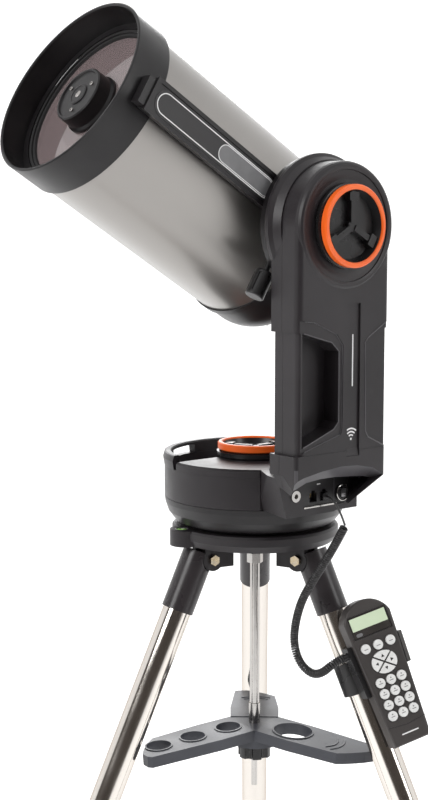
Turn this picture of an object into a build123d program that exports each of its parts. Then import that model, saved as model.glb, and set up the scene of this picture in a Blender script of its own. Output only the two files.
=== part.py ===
from build123d import *
import os
from math import sin, cos, tan, radians, pi

os.makedirs("parts", exist_ok=True)

# ---------------------------------------------------------------------------
# Driving dimensions, millimetres. Z is up, the floor is Z = 0 and the azimuth
# axis is X = Y = 0. The optical tube looks towards -Y and the fork arm stands
# on the +X side.
# ---------------------------------------------------------------------------
MOUNT_Z = 850.0            # joint between the tripod head and the mount
AXIS_Y = -24.0             # altitude axis, ahead of the azimuth axis
AXIS_Z = MOUNT_Z + 394.0   # altitude axis height
ALTITUDE = 31.5            # rest altitude of the tube, degrees

BASE_TOP = MOUNT_Z + 36.0      # fixed base ring, then the turning drum
DRUM_TOP = MOUNT_Z + 78.0
DECK_TOP = MOUNT_Z + 88.5
DRUM_R = 121.0
BASE_R = 98.0

ARM_IN = 153.0             # inner face of the arm
ARM_COLLAR = 144.5         # inner face of the round collar at the arm's head
ARM_SEAM = 167.0           # joint between the two arm shells
ARM_OUT = 197.0            # outer face of the arm
ARM_FRONT = AXIS_Y - 76.0
ARM_BACK = AXIS_Y + 70.0
WALL = 4.0
GAP = 0.35                 # clearance between parts that move past each other

TUBE_R = 113.0             # optical tube
TUBE_WALL = 2.5
CELL_R = 117.5             # front cell
RIM_S = 315.5              # front rim, measured along the tube from the altitude axis
CELL_LEN = 50.4
TUBE_REAR_S = -24.0
GLASS_S = 268.2            # rear face of the corrector plate
REAR_S = -106.0            # back of the rear cell

LEG_AZIMUTH = (139.5, -100.5, 19.5)   # rear, left and right leg
LEG_NAMES = ("rear", "left", "right")
LEG_SPREAD = 23.9          # degrees from vertical, legs spread
PIVOT_R = 73.2
PIVOT_Z = MOUNT_Z - 42.7
PIVOT_TO_LEG = 14.1        # the leg axis passes this far outside its hinge
LEG_TUBE_R = 19.05
HEAD_R = 111.0
HEAD_T = 22.0
TRAY_Z = MOUNT_Z - 280.0
ROD_R = 6.5

KNOB_RING_R = 50.0         # grip ring of both clutch knobs

OUT = {}


def save(name, shape):
    """Write one node, and keep it for the volume print at the end."""
    OUT[name] = shape
    export_step(shape, f"parts/{name}.step")


def turned(*points):
    """Solid of revolution about Z from (radius, height) points."""
    return revolve(Plane.XZ * make_face(Polyline(*points, close=True)), Axis.Z)


def disc(radius, z0, z1):
    """Plain cylinder about Z between two heights."""
    return Pos(0, 0, z0) * Cylinder(radius, z1 - z0, align=(Align.CENTER, Align.CENTER, Align.MIN))


def ring(outer, inner, z0, z1):
    """Plain ring about Z between two heights."""
    return disc(outer, z0, z1) - disc(inner, z0 - 1, z1 + 1)


def block(x0, x1, y0, y1, z0, z1):
    """Box from its two corners."""
    return Pos((x0 + x1) / 2, (y0 + y1) / 2, (z0 + z1) / 2) * Box(x1 - x0, y1 - y0, z1 - z0)


def prism_x(sketch, x0, x1):
    """Sketch drawn in (Y, Z), extruded from x0 to x1."""
    return extrude(Plane.YZ.offset(x0) * sketch, x1 - x0)


def prism_z(points, z0, z1):
    """Polygon drawn in (X, Y), extruded from z0 to z1."""
    return extrude(Plane.XY.offset(z0) * make_face(Polyline(*points, close=True)), z1 - z0)


def around(count, shape, start=0.0):
    """Copies of a shape turned about Z."""
    return [Rot(0, 0, start + 360.0 * i / count) * shape for i in range(count)]


# ---------------------------------------------------------------------------
# Optical tube: drawn about a local Z axis, then tilted on to the altitude axis
# ---------------------------------------------------------------------------
TUBE_FRAME = Plane(
    origin=(0, AXIS_Y, AXIS_Z),
    x_dir=(1, 0, 0),
    z_dir=(0, -cos(radians(ALTITUDE)), sin(radians(ALTITUDE))),
).location


def tube_parts():
    cell_back = RIM_S - CELL_LEN
    shelf = GLASS_S + 12.0
    seat_r = 105.0
    tube_in = TUBE_R - TUBE_WALL
    save("ota_tube", TUBE_FRAME * ring(TUBE_R, tube_in, TUBE_REAR_S, cell_back + 10))

    lip_r = TUBE_R + 0.2
    front = turned(
        (CELL_R, cell_back), (CELL_R, RIM_S - 1.2), (CELL_R - 1.2, RIM_S), (lip_r + 1.2, RIM_S),
        (lip_r, RIM_S - 1.5), (lip_r, shelf), (seat_r, shelf), (seat_r, GLASS_S - 0.2),
        (seat_r - 6, GLASS_S - 0.2), (seat_r - 6, GLASS_S - 6), (tube_in - 0.3, GLASS_S - 6),
        (tube_in - 0.3, cell_back + 10.2), (lip_r, cell_back + 10.2), (lip_r, cell_back),
    )
    save("front_cell", TUBE_FRAME * front)

    hole_r = 32.0
    glass_t = 4.8
    save("corrector_plate", TUBE_FRAME * ring(seat_r - 0.3, hole_r, GLASS_S, GLASS_S + glass_t))
    face = GLASS_S + glass_t
    retainer = turned(
        (seat_r - 0.3, face), (seat_r - 0.3, face + 5.5), (seat_r - 4, face + 5.5),
        (seat_r - 4, face + 3.2), (seat_r - 7.5, face + 3.2), (seat_r - 8.5, face),
    )
    save("corrector_ring", TUBE_FRAME * retainer)

    house = turned(
        (0, GLASS_S - 10), (hole_r - 0.3, GLASS_S - 10), (hole_r - 0.3, face), (39, face),
        (39, face + 4), (36.5, face + 7), (36, RIM_S - 18), (34.5, RIM_S - 16.5), (32.5, RIM_S - 16.5),
        (31.5, RIM_S - 18.5), (0, RIM_S - 18.5),
    )
    save("secondary_housing", TUBE_FRAME * house)
    save("secondary_mirror", TUBE_FRAME * disc(28, GLASS_S - 16, GLASS_S - 10))

    baffle = turned(
        (18.5, REAR_S + 6.2), (30, REAR_S + 6.2), (30, REAR_S + 12), (21, REAR_S + 12),
        (21, 150), (25, 190), (22.5, 190), (18.5, 150),
    )
    save("baffle_tube", TUBE_FRAME * baffle)

    mirror_r = 101.5
    mirror = disc(mirror_r, -26, 0) - disc(21 + GAP, -27, 1)
    dish_r = 810.0
    mirror -= Pos(0, 0, dish_r - 6.4) * Sphere(dish_r)
    carrier = ring(30, 21 + GAP, -46, -26)
    save("primary_mirror", TUBE_FRAME * (mirror + carrier))

    outside = Line((115, TUBE_REAR_S - 0.1), (115, -33)) + Line((115, -33), (112.5, -35))
    outside += Line((112.5, -35), (112.5, -56)) + ThreePointArc((112.5, -56), (102, -88), (72, REAR_S + 1))
    outside += Line((72, REAR_S + 1), (60, REAR_S)) + Line((60, REAR_S), (24.5, REAR_S))
    inside = Line((24.5, REAR_S), (24.5, REAR_S + 6)) + Line((24.5, REAR_S + 6), (70, REAR_S + 6))
    inside += ThreePointArc((70, REAR_S + 6), (97, -83), (107.5, -56))
    inside += Line((107.5, -56), (107.5, TUBE_REAR_S - 0.1))
    inside += Line((107.5, TUBE_REAR_S - 0.1), (115, TUBE_REAR_S - 0.1))
    cell = revolve(Plane.XZ * make_face(outside + inside), Axis.Z)
    cell -= Pos(*FOCUS_AT, 0) * disc(4 + GAP, REAR_S - 1, REAR_S + 8)
    save("rear_cell", TUBE_FRAME * cell)

    back = turned(
        (15.875, REAR_S - 28), (20.5, REAR_S - 28), (20.5, REAR_S - 20), (24, REAR_S - 18),
        (24, REAR_S - 8), (30, REAR_S - 6), (30, REAR_S - 0.1), (24.2, REAR_S - 0.1),
        (24.2, REAR_S + 6), (18.5, REAR_S + 6), (18.5, REAR_S - 3), (15.875, REAR_S - 3),
    )
    save("visual_back", TUBE_FRAME * back)

    grip = disc(11, REAR_S - 26, REAR_S - 2)
    for rib in around(12, Pos(11.4, 0, 0) * disc(1.2, REAR_S - 25, REAR_S - 4)):
        grip -= rib
    grip += disc(4, REAR_S - 2.5, -60)
    save("focus_knob", TUBE_FRAME * Pos(*FOCUS_AT, 0) * grip)


FOCUS_AT = (-44.0, -44.0)
RAIL_IN = 117.8            # the rail stands just off the side of the tube
RAIL_OUT = 134.0
RAIL_HALF = 22.0           # half of the 44 mm dovetail width
RAIL_FRONT = 287.0
RAIL_REAR = -88.0
HUB_R = 84.0
CLAMP_S = 32.0
CLAMP_GRIP = -85.0        # the clamp knob's grip starts below the hub


def rail_parts():
    """Dovetail rail on the side of the tube, with the step at its front end."""
    neck = RAIL_HALF - 4.0
    section = [(RAIL_IN, -neck), (RAIL_IN + 5, -neck), (RAIL_OUT, -RAIL_HALF), (RAIL_OUT, RAIL_HALF),
               (RAIL_IN + 5, neck), (RAIL_IN, neck)]
    rail = prism_z(section, RAIL_REAR, RAIL_FRONT)
    rail -= block(RAIL_OUT - 1.2, RAIL_OUT + 1, -17, 17, 70, 281)
    stop = block(RAIL_IN, RAIL_OUT - 3, -17, 17, RAIL_FRONT - 2, RAIL_FRONT + 10)
    save("dovetail_rail", TUBE_FRAME * (rail + stop))


def saddle_parts():
    """Altitude saddle: a round hub with two jaws, and the knob that closes them."""
    face = RAIL_OUT + 0.1
    hub = Pos(face, 0, 0) * Rot(0, 90, 0) * Cylinder(
        HUB_R, ARM_COLLAR - GAP - face, align=(Align.CENTER, Align.CENTER, Align.MIN))
    jaw = [(face, RAIL_HALF + 0.3), (face - 10, RAIL_HALF - 3.2), (face - 10, 32), (face, 36)]
    fixed = prism_z(jaw, -50, 50)
    loose = mirror(fixed, Plane.XZ)
    saddle = hub + fixed + loose
    saddle -= Pos(face - 5, -30, CLAMP_S) * Rot(90, 0, 0) * Cylinder(4 + GAP, 40)
    shaft = Pos(ARM_COLLAR - GAP - 1, 0, 0) * Rot(0, 90, 0) * Cylinder(
        15, 41, align=(Align.CENTER, Align.CENTER, Align.MIN))
    save("altitude_saddle", TUBE_FRAME * (saddle + shaft))
    wheel = Rot(0, 90, 0) * (Cylinder(46, 10) - Cylinder(15.02, 12))
    teeth = []
    for i in range(60):
        teeth.append(Rot(6 * i, 0, 0) * Pos(0, 46.5, 0) * Box(12, 3, 2.2))
    wheel -= Compound(teeth)
    save("altitude_worm_wheel", TUBE_FRAME * Pos(ARM_IN + 12, 0, 0) * wheel)

    knob = Cylinder(12, 34, align=(Align.CENTER, Align.CENTER, Align.MIN))
    knob = fillet(knob.edges(), 2)
    for turn in range(6):
        slot = Rot(0, 0, 60 * turn) * Pos(13, 0, 17) * Box(6, 4.5, 25)
        knob -= slot
    knob += Pos(0, 0, -60) * Cylinder(4, 60.5, align=(Align.CENTER, Align.CENTER, Align.MIN))
    save("saddle_knob", TUBE_FRAME * Pos(face - 5, CLAMP_GRIP, CLAMP_S) * Rot(90, 0, 0) * knob)


# ---------------------------------------------------------------------------
# Mount: fixed base, turning drum with its deck and handle, and the fork arm
# ---------------------------------------------------------------------------
def base_parts():
    outline = [
        (40, MOUNT_Z), (BASE_R, MOUNT_Z), (BASE_R + 9, MOUNT_Z + 5), (BASE_R + 18, MOUNT_Z + 17),
        (DRUM_R - 1, MOUNT_Z + 29), (DRUM_R, BASE_TOP), (112, BASE_TOP), (112, MOUNT_Z + 20),
        (96, MOUNT_Z + 8), (40, MOUNT_Z + 8),
    ]
    save("mount_base", turned(*outline))
    bearing = ring(39.5, 25, MOUNT_Z + 0.2, MOUNT_Z + 30) + ring(60, 25, MOUNT_Z + 8.2, MOUNT_Z + 14)
    bearing += ring(80, 39, MOUNT_Z + 15, MOUNT_Z + 25)
    teeth = Compound(around(90, Pos(80.5, 0, MOUNT_Z + 20) * Box(3, 2.4, 12)))
    save("azimuth_worm_wheel", bearing - teeth)


WELL_EDGE = -18.0          # the deck's raised part ends here, and the hand well begins
WELL_FLOOR = MOUNT_Z + 64.0
HANDLE_TOP = MOUNT_Z + 96.5
SLOT_AZIMUTH = 203.5        # finger slot in the handle
SLOT_HALF = radians(15.5)


def drum_parts():
    low = BASE_TOP + 0.6
    drum = ring(DRUM_R, DRUM_R - WALL, low, DRUM_TOP - 0.1)
    drum += ring(DRUM_R - WALL + 0.5, 30, low, low + 4)
    drum += ring(38, 30, MOUNT_Z + 30.6, low + 1)
    drum += ring(44, 36, low + 3, DRUM_TOP - 0.1)
    outline = [(-130, -130), (WELL_EDGE + 114, -130), (WELL_EDGE + 114, 130), (-130, 130)]
    keep = prism_z(outline, low - 20, DECK_TOP)
    save("turntable_drum", drum & keep)

    plate = turned((0, DRUM_TOP), (DRUM_R, DRUM_TOP), (DRUM_R, DECK_TOP - 2.5), (DRUM_R - 2.5, DECK_TOP),
                   (0, DECK_TOP))
    plate = plate & block(WELL_EDGE, FOOT_EDGE - 0.4, -130, 130, DRUM_TOP - 1, DECK_TOP + 1)
    rear = block(-130, WELL_EDGE + 3, -130, 130, WELL_FLOOR - 3, DRUM_TOP + 2)
    tub = disc(DRUM_R - WALL - 0.4, WELL_FLOOR - 3, DRUM_TOP + 2) & rear
    hollow = block(-130, WELL_EDGE, -130, 130, WELL_FLOOR, DRUM_TOP + 3)
    tub -= disc(DRUM_R - 9.5, WELL_FLOOR, DRUM_TOP + 3) & hollow
    boss = disc(48, WELL_FLOOR - 3, DECK_TOP - 0.01)
    rim = turned((DRUM_R - 9, DRUM_TOP), (DRUM_R + 0.3, DRUM_TOP), (DRUM_R + 2, HANDLE_TOP - 8),
                 (DRUM_R, HANDLE_TOP - 1), (DRUM_R - 2, HANDLE_TOP), (DRUM_R - 8, HANDLE_TOP),
                 (DRUM_R - 9, HANDLE_TOP - 2))
    span = prism_z([(-150, -150), (WELL_EDGE - 6, -150), (WELL_EDGE - 6, -110), (WELL_EDGE - 22, -90),
                    (WELL_EDGE - 22, 90), (WELL_EDGE - 6, 110), (WELL_EDGE - 6, 150), (-150, 150)],
                   DRUM_TOP - 1, HANDLE_TOP + 1)
    slot = Rot(0, 0, SLOT_AZIMUTH) * prism_z([(60, -60 * tan(SLOT_HALF)), (160, -160 * tan(SLOT_HALF)),
                                              (160, 160 * tan(SLOT_HALF)), (60, 60 * tan(SLOT_HALF))],
                                             DRUM_TOP + 2.5, DRUM_TOP + 13.5)
    deck = plate + tub + boss + (rim & span) - slot
    deck -= disc(44.5, WELL_FLOOR - 4, DECK_TOP - 4)
    deck -= disc(26, DECK_TOP - 5, DECK_TOP + 1)
    save("top_deck", deck)


FOOT_EDGE = WELL_EDGE + 114.0    # the drum stops here and the arm's foot begins
PANEL_X = 158.0
ARCH_TOP = MOUNT_Z + 104.0


HEAD_STEP_Z = MOUNT_Z + 268.0   # below this the arm is a little slimmer
BOX_TOP = MOUNT_Z + 120.0       # below this the arm is a little wider
BOX_FRONT = AXIS_Y - 81.0
GRIP_DEPTH = 28.0


def turned_x(*points):
    """Solid of revolution about the altitude axis from (radius, x) points."""
    return Pos(0, AXIS_Y, AXIS_Z) * Rot(0, 90, 0) * turned(*points)


def side_face(points):
    """Face in the (Y, Z) plane from points measured from the altitude axis and from the mount joint."""
    return make_face(Polyline(*[(AXIS_Y + y, MOUNT_Z + z) for y, z in points], close=True))


def side_cut(points, x0, x1):
    return prism_x(side_face(points), x0, x1)


def rounded_box(x0, x1, y0, y1, z0, z1, front, back):
    """Upright box whose two outer corner edges are rounded."""
    box = block(x0, x1, y0, y1, z0, z1)
    corners = box.edges().filter_by(Axis.Z).sort_by(Axis.X)[-2:]
    box = fillet(corners.sort_by(Axis.Y)[0], front)
    corners = box.edges().filter_by(Axis.Z).sort_by(Axis.Y)[-2:]
    return fillet(corners.sort_by(Axis.X)[-1], back)


GRIP_OPENING = [(-70, 129), (-18, 148.5), (-10, 157), (-10, 243), (-22, 254.5), (-70, 268)]
GRIP_FRAME = [(-90, 118), (-7, 141), (-4.5, 151), (-4.5, 251), (-15, 264.5), (-51, 280), (-90, 285)]
REAR_PANEL = [(34, 142), (39, 134.5), (80, 116), (80, 282), (37, 258), (32, 252)]
BAY_RIM = [(-84, 84), (-84, 90), (-70, 94.6), (-38, 100), (-7, 103), (20, 102), (48, 96), (67, 85), (5, 54.5),
           (-84, 54.5)]
BAY_INNER = [(-78, 70), (-74, 77), (-53, 84.8), (-29, 87.2), (-5, 87), (28, 84.5), (48, 82.5), (56, 80),
             (13, 54), (-78, 54)]
BAY_BACK = [(-78, 70), (-74, 77), (-53, 84.8), (-29, 87.2), (-5, 87), (28, 84.5), (48, 82.5), (64, 78),
            (42, 54), (-78, 54)]
BAY_FLOOR = MOUNT_Z + 56.0

def bay():
    """Scoop in the arm's foot for the port panel: a bevelled rim, then a hollow that widens to the rear."""
    sections = []
    for points, x in ((BAY_RIM, ARM_OUT + 1.5), (BAY_INNER, ARM_OUT - 12), (BAY_BACK, PANEL_X)):
        sections.append(Pos(x, 0, 0) * Plane.YZ.location * side_face(points))
    return loft(sections[:2], ruled=True) + loft(sections[1:], ruled=True)


def below(a, b, c):
    """Large block on the side that (b - a) x (c - a) points to of the plane through three points."""
    normal = (b - a).cross(c - a).normalized()
    return Plane(origin=a, x_dir=(b - a).normalized(), z_dir=normal).location * Box(
        600, 600, 90, align=(Align.CENTER, Align.CENTER, Align.MIN))


def tail():
    """What is cut away under the arm's foot: everything below a plane that slopes up to the rear and outward."""
    high = Vector(ARM_OUT + 0.5, AXIS_Y + 68, MOUNT_Z + 85)
    low = Vector(ARM_OUT + 0.5, AXIS_Y + 5, MOUNT_Z + 54.5)
    inner = Vector(PANEL_X, AXIS_Y + 45, MOUNT_Z + 49.3)
    reach = block(FOOT_EDGE + 30, ARM_OUT + 5, AXIS_Y - 10, ARM_BACK + 5, BASE_TOP, MOUNT_Z + 95)
    return below(high, low, inner) & reach


def front_bevel():
    """What is cut from the front of the arm's foot below its sloping crease."""
    high = Vector(186, BOX_FRONT, MOUNT_Z + 84)
    low = Vector(FOOT_EDGE, -73, MOUNT_Z + 50.5)
    back = Vector(PANEL_X, -88, MOUNT_Z + 48)
    reach = block(FOOT_EDGE - 5, ARM_OUT + 5, BOX_FRONT - 5, -40, BASE_TOP, MOUNT_Z + 95)
    return below(high, low, back) & reach


def arm_parts():
    low = BASE_TOP + 1
    seam = ARM_SEAM + 0.3
    outer = rounded_box(seam, ARM_OUT, ARM_FRONT, ARM_BACK, BOX_TOP - 1, AXIS_Z, 9, 5)
    outer += rounded_box(seam, ARM_OUT, ARM_FRONT - 2, ARM_BACK + 2.5, HEAD_STEP_Z, AXIS_Z, 9, 6)
    outer += rounded_box(seam, ARM_OUT + 0.5, BOX_FRONT, ARM_BACK - 0.5, low, BOX_TOP, 5, 5)
    outer += turned_x((0, seam), (78, seam), (78, 190), (77.2, 194), (75.5, 197), (73, 198.5), (70, 198.2),
                      (67.6, 197.4), (67.2, 195.8), (62, 195), (58, 194.2), (56, 193.9), (0, 193.9))
    outer -= turned_x((0, 193.9), (56, 193.9), (58, 194.2), (62, 195), (67.2, 195.8), (67.6, 197.4), (68, 200),
                      (0, 200))
    cavity = block(ARM_SEAM - 1, ARM_OUT - WALL - 2, ARM_FRONT + 12, ARM_BACK - 10, ARCH_TOP + 14, AXIS_Z - 42)
    cavity += turned_x((0, ARM_SEAM - 1), (70, ARM_SEAM - 1), (70, 184), (60, 188), (0, 188))
    cavity -= side_cut([(-74, 122), (-2, 122), (-2, 285), (-74, 285)], ARM_OUT - GRIP_DEPTH - 3.7, ARM_OUT)
    outer -= cavity
    outer -= side_cut(GRIP_OPENING, ARM_OUT - GRIP_DEPTH, ARM_OUT + 2)
    outer -= side_cut(GRIP_FRAME, ARM_OUT - 1.8, ARM_OUT + 2)
    outer -= side_cut([(3, 113), (24, 113), (24, 300.5), (3, 300.5)], ARM_OUT - 2.5, ARM_OUT + 3)
    outer -= side_cut(REAR_PANEL, ARM_OUT - 4, ARM_OUT + 2)
    outer -= bay()
    outer -= tail()
    outer -= block(ARM_SEAM - 1, ARM_OUT + 2, BOX_FRONT - 1, AXIS_Y + 8, low - 1, BAY_FLOOR)
    outer -= block(ARM_SEAM - 1, ARM_OUT + 2, AXIS_Y, ARM_BACK + 5, low - 1, BAY_FLOOR - 1.5)
    outer -= front_bevel()
    outer -= Pos(ARM_OUT - 20, AXIS_Y, AXIS_Z) * Rot(0, 90, 0) * Cylinder(15 + GAP, 40)
    save("arm_outer_shell", outer)

    inner = turned_x((0, ARM_COLLAR), (84, ARM_COLLAR), (87, ARM_COLLAR + 1.2), (88, ARM_COLLAR + 4),
                     (88, ARM_COLLAR + 8), (84, ARM_COLLAR + 12), (80, ARM_SEAM), (0, ARM_SEAM))
    inner += block(ARM_IN, ARM_SEAM, ARM_FRONT, ARM_BACK, BOX_TOP - 1, AXIS_Z)
    inner += block(ARM_IN - 5, ARM_SEAM, ARM_FRONT - 2, ARM_BACK + 2.5, HEAD_STEP_Z, AXIS_Z)
    inner += block(ARM_IN - 3, ARM_SEAM, BOX_FRONT, ARM_BACK - 0.5, low, BOX_TOP)
    inner -= block(ARM_IN + WALL, ARM_SEAM + 1, ARM_FRONT + WALL, ARM_BACK - WALL, ARCH_TOP + 14, AXIS_Z - 42)
    inner -= turned_x((0, ARM_IN + WALL), (74, ARM_IN + WALL), (74, ARM_SEAM + 1), (0, ARM_SEAM + 1))
    inner -= bay()
    inner -= tail()
    inner -= block(PANEL_X, ARM_SEAM + 1, BOX_FRONT - 1, AXIS_Y + 40, low - 1, BAY_FLOOR)
    inner -= Pos(ARM_IN, AXIS_Y, AXIS_Z) * Rot(0, 90, 0) * Cylinder(15 + GAP, 30)
    foot = [(FOOT_EDGE + 0.4, -73), (ARM_IN, BOX_FRONT), (ARM_IN, 40), (FOOT_EDGE + 0.4, 73)]
    inner += prism_z(foot, low, DECK_TOP)
    gusset = prism_z([(FOOT_EDGE + 0.4, -60), (ARM_IN, BOX_FRONT + 6), (ARM_IN, 40), (FOOT_EDGE + 0.4, 60)],
                     DECK_TOP - 0.5, DECK_TOP + 16)
    gusset -= Pos(FOOT_EDGE + 0.4, 0, DECK_TOP) * Rot(0, -17, 0) * Box(
        200, 300, 40, align=(Align.CENTER, Align.CENTER, Align.MIN))
    inner += gusset
    inner -= front_bevel()
    inner -= block(PANEL_X - 12, PANEL_X + 8, PANEL_Y0, PANEL_Y1, PANEL_Z0, PANEL_Z1)
    inner -= Pos(PANEL_X - 6, JACK_Y, JACK_Z) * Rot(0, 90, 0) * Cylinder(5.6, 13)
    save("arm_inner_shell", inner)


PANEL_Y0 = -56.0
PANEL_Y1 = 21.0
PANEL_Z0 = MOUNT_Z + 46.0
PANEL_Z1 = MOUNT_Z + 80.0
JACK_Y = -70.0
JACK_Z = MOUNT_Z + 63.5
SWITCH_Y = 8.5
SWITCH_Z = MOUNT_Z + 60.0
SOCKET_Y = (-39.0, -21.0)
SOCKET_Z = MOUNT_Z + 59.0


def port_parts():
    """Port panel in the arch: a plate with two data sockets and the switch, and the power jack."""
    plate = block(PANEL_X - 11.5, PANEL_X - 1.5, PANEL_Y0 + 0.3, PANEL_Y1 - 0.3, PANEL_Z0 + 0.3, PANEL_Z1 - 0.3)
    for y in SOCKET_Y:
        plate -= block(PANEL_X - 9.5, PANEL_X, y - 6, y + 6, SOCKET_Z - 6.5, SOCKET_Z + 5)
        plate -= block(PANEL_X - 9.5, PANEL_X, y - 3, y + 3, SOCKET_Z + 4, SOCKET_Z + 8)
    plate += Pos(PANEL_X, SWITCH_Y, SWITCH_Z) * Rot(0, 90, 0) * Cylinder(10.8, 3.4)
    plate -= block(PANEL_X - 9.5, PANEL_X + 3, SWITCH_Y - 4, SWITCH_Y + 4, SWITCH_Z - 6.5, SWITCH_Z + 6.5)
    save("port_panel", plate)
    jack = Cylinder(5.3, 11) - Pos(0, 0, 4) * Cylinder(3.1, 9)
    jack += Pos(0, 0, 1) * Cylinder(1.0, 6)
    jack += Pos(0, 0, 6.2) * (Cylinder(7.2, 1.6) - Cylinder(3.1, 3))
    save("power_jack", Pos(PANEL_X - 5.2, JACK_Y, JACK_Z) * Rot(0, 90, 0) * jack)
    rocker = Rot(90, 0, 0) * Cylinder(4.6, 7.2)
    rocker = Pos(0, 0, -1.2) * rocker + Pos(0, 0, 1.5) * Rot(0, 7, 0) * Box(10.4, 7.2, 3.5)
    rocker = rocker & Box(12.2, 7.3, 12)
    save("power_switch", Pos(PANEL_X + 0.5, SWITCH_Y, SWITCH_Z) * Rot(0, 90, 0) * rocker)


def clutch_knob(name, place, fin_at):
    """Cup-shaped clutch knob with three fins, and its grip ring. Its seat is at height zero."""
    body = turned((0, 0), (50, 0), (51.5, 2), (51.5, 7), (46, 8.5), (46, 16.5), (43.5, 16.5), (40, 5),
                  (0, 5))
    for fin in around(3, Pos(23, 0, 9) * Box(38, 7.5, 9), fin_at):
        body += fin
    for pad in around(3, Pos(35.5, 0, 9.5) * Box(10, 15, 11), fin_at):
        body += pad & disc(41.2, 3, 17)
    body += disc(7, 4, 12)
    body -= disc(15 + GAP, -1, 1.5)
    save(name + "_clutch_knob", place * body)
    grip = turned((46.05, 9), (48.5, 9), (KNOB_RING_R, 10.5), (KNOB_RING_R, 17.5), (48.6, 19),
                  (45, 19), (43.6, 17.8), (43.6, 16.55), (46.05, 16.55))
    save(name + "_grip_ring", place * grip)


def arm_internals():
    """Battery pack and altitude drive inside the arm."""
    pack = block(ARM_IN + WALL + 1, ARM_OUT - 11, AXIS_Y + 2, AXIS_Y + 54, MOUNT_Z + 125, MOUNT_Z + 285)
    save("battery_pack", fillet(pack.edges().filter_by(Axis.Z), 3))
    worm = Pos(ARM_IN + 12, AXIS_Y, AXIS_Z - 52.5) * Rot(90, 0, 0) * Cylinder(5, 60)
    motor = Pos(ARM_IN + 12, AXIS_Y + 43, AXIS_Z - 52.5) * Rot(90, 0, 0) * Cylinder(6.5, 28)
    save("altitude_motor", worm + motor)


# ---------------------------------------------------------------------------
# Tripod
# ---------------------------------------------------------------------------
def radial_frame(azimuth, radius, z):
    """Local X points along the tangent, local Y points at the axis, local Z is up."""
    a = radians(azimuth)
    return Plane(origin=(radius * cos(a), radius * sin(a), z), x_dir=(-sin(a), cos(a), 0),
                 z_dir=(0, 0, 1)).location


def leg_frame(azimuth):
    """Local Z runs down the leg, local Y points outward, local X is along the hinge bolt."""
    a = radians(azimuth)
    b = radians(LEG_SPREAD)
    r = PIVOT_R + PIVOT_TO_LEG * cos(b)
    z = PIVOT_Z + PIVOT_TO_LEG * sin(b)
    return Plane(origin=(r * cos(a), r * sin(a), z), x_dir=(-sin(a), cos(a), 0),
                 z_dir=(sin(b) * cos(a), sin(b) * sin(a), -cos(b))).location


CHEEK_IN = 9.2
CHEEK_OUT = 18.5
CHEEK_R = 15.0
LEVEL_AZIMUTH = -101.0


def across(radius, x0, x1, y, z):
    """Cylinder along local X."""
    return Pos((x0 + x1) / 2, y, z) * Rot(0, 90, 0) * Cylinder(radius, x1 - x0)


def head_parts():
    top = MOUNT_Z - 0.05
    head = turned((9, top), (95, top), (95, top - 1), (HEAD_R - 2.5, top - 1), (HEAD_R, top - 4),
                  (HEAD_R, top - HEAD_T + 9), (HEAD_R - 6, top - HEAD_T), (9, top - HEAD_T))
    lobe = Rot(0, 0, LEVEL_AZIMUTH) * Pos(HEAD_R - 8, 0, top - 1 - (HEAD_T - 1) / 2) * Cylinder(22, HEAD_T - 1)
    lobe -= disc(96, top - 3, top + 1)
    head += lobe
    for azimuth in LEG_AZIMUTH:
        place = radial_frame(azimuth, PIVOT_R, PIVOT_Z)
        lift = top - HEAD_T + 1 - PIVOT_Z
        lug = block(-CHEEK_OUT, CHEEK_OUT, 0, 30, -11, lift) + across(CHEEK_R, -CHEEK_OUT, CHEEK_OUT, 0, 0)
        lug += block(-CHEEK_OUT, CHEEK_OUT, -12, 0, 0, lift)
        lug -= block(-CHEEK_IN, CHEEK_IN, -40, 22, -30, lift - 1)
        lug -= across(4.2, -30, 30, 0, 0)
        head += place * lug
    head -= Rot(0, 0, LEVEL_AZIMUTH) * Pos(HEAD_R - 1, 0, 0) * disc(9.3, top - 9, top + 1)
    save("tripod_head", head)
    bolts = []
    for azimuth in LEG_AZIMUTH:
        bolt = across(4.1, -CHEEK_OUT - 3, CHEEK_OUT + 3, 0, 0)
        head_hex = Rot(0, 90, 0) * extrude(RegularPolygon(7.2, 6), 4.6)
        bolt += Pos(CHEEK_OUT + 0.1, 0, 0) * head_hex
        bolt += Pos(-CHEEK_OUT - 4.7, 0, 0) * head_hex
        bolts.append(radial_frame(azimuth, PIVOT_R, PIVOT_Z) * bolt)
    save("hinge_bolts", Compound(bolts))

    nut_z = MOUNT_Z - 57
    rod = disc(8.8, MOUNT_Z - 45, MOUNT_Z + 7.8) + disc(ROD_R, TRAY_Z - 42, MOUNT_Z - 40)
    rod += extrude(Plane.XY.offset(nut_z) * RegularPolygon(11, 6), 13)
    rod += disc(ROD_R + 1.2, TRAY_Z + 0.4, TRAY_Z + 28)
    rod += disc(4.0, TRAY_Z - 88, TRAY_Z - 41)
    save("centre_rod", rod)


SLEEVE_TOP = -4.0
SLEEVE_END = 78.0
SLEEVE_R = 21.3
COLLAR_TOP = 700.0
COLLAR_END = 752.0
COLLAR_R = 26.0
EXTENSION_R = 15.9
EXTENSION_TOP = 330.0
LOCK_T = 736.0


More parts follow.
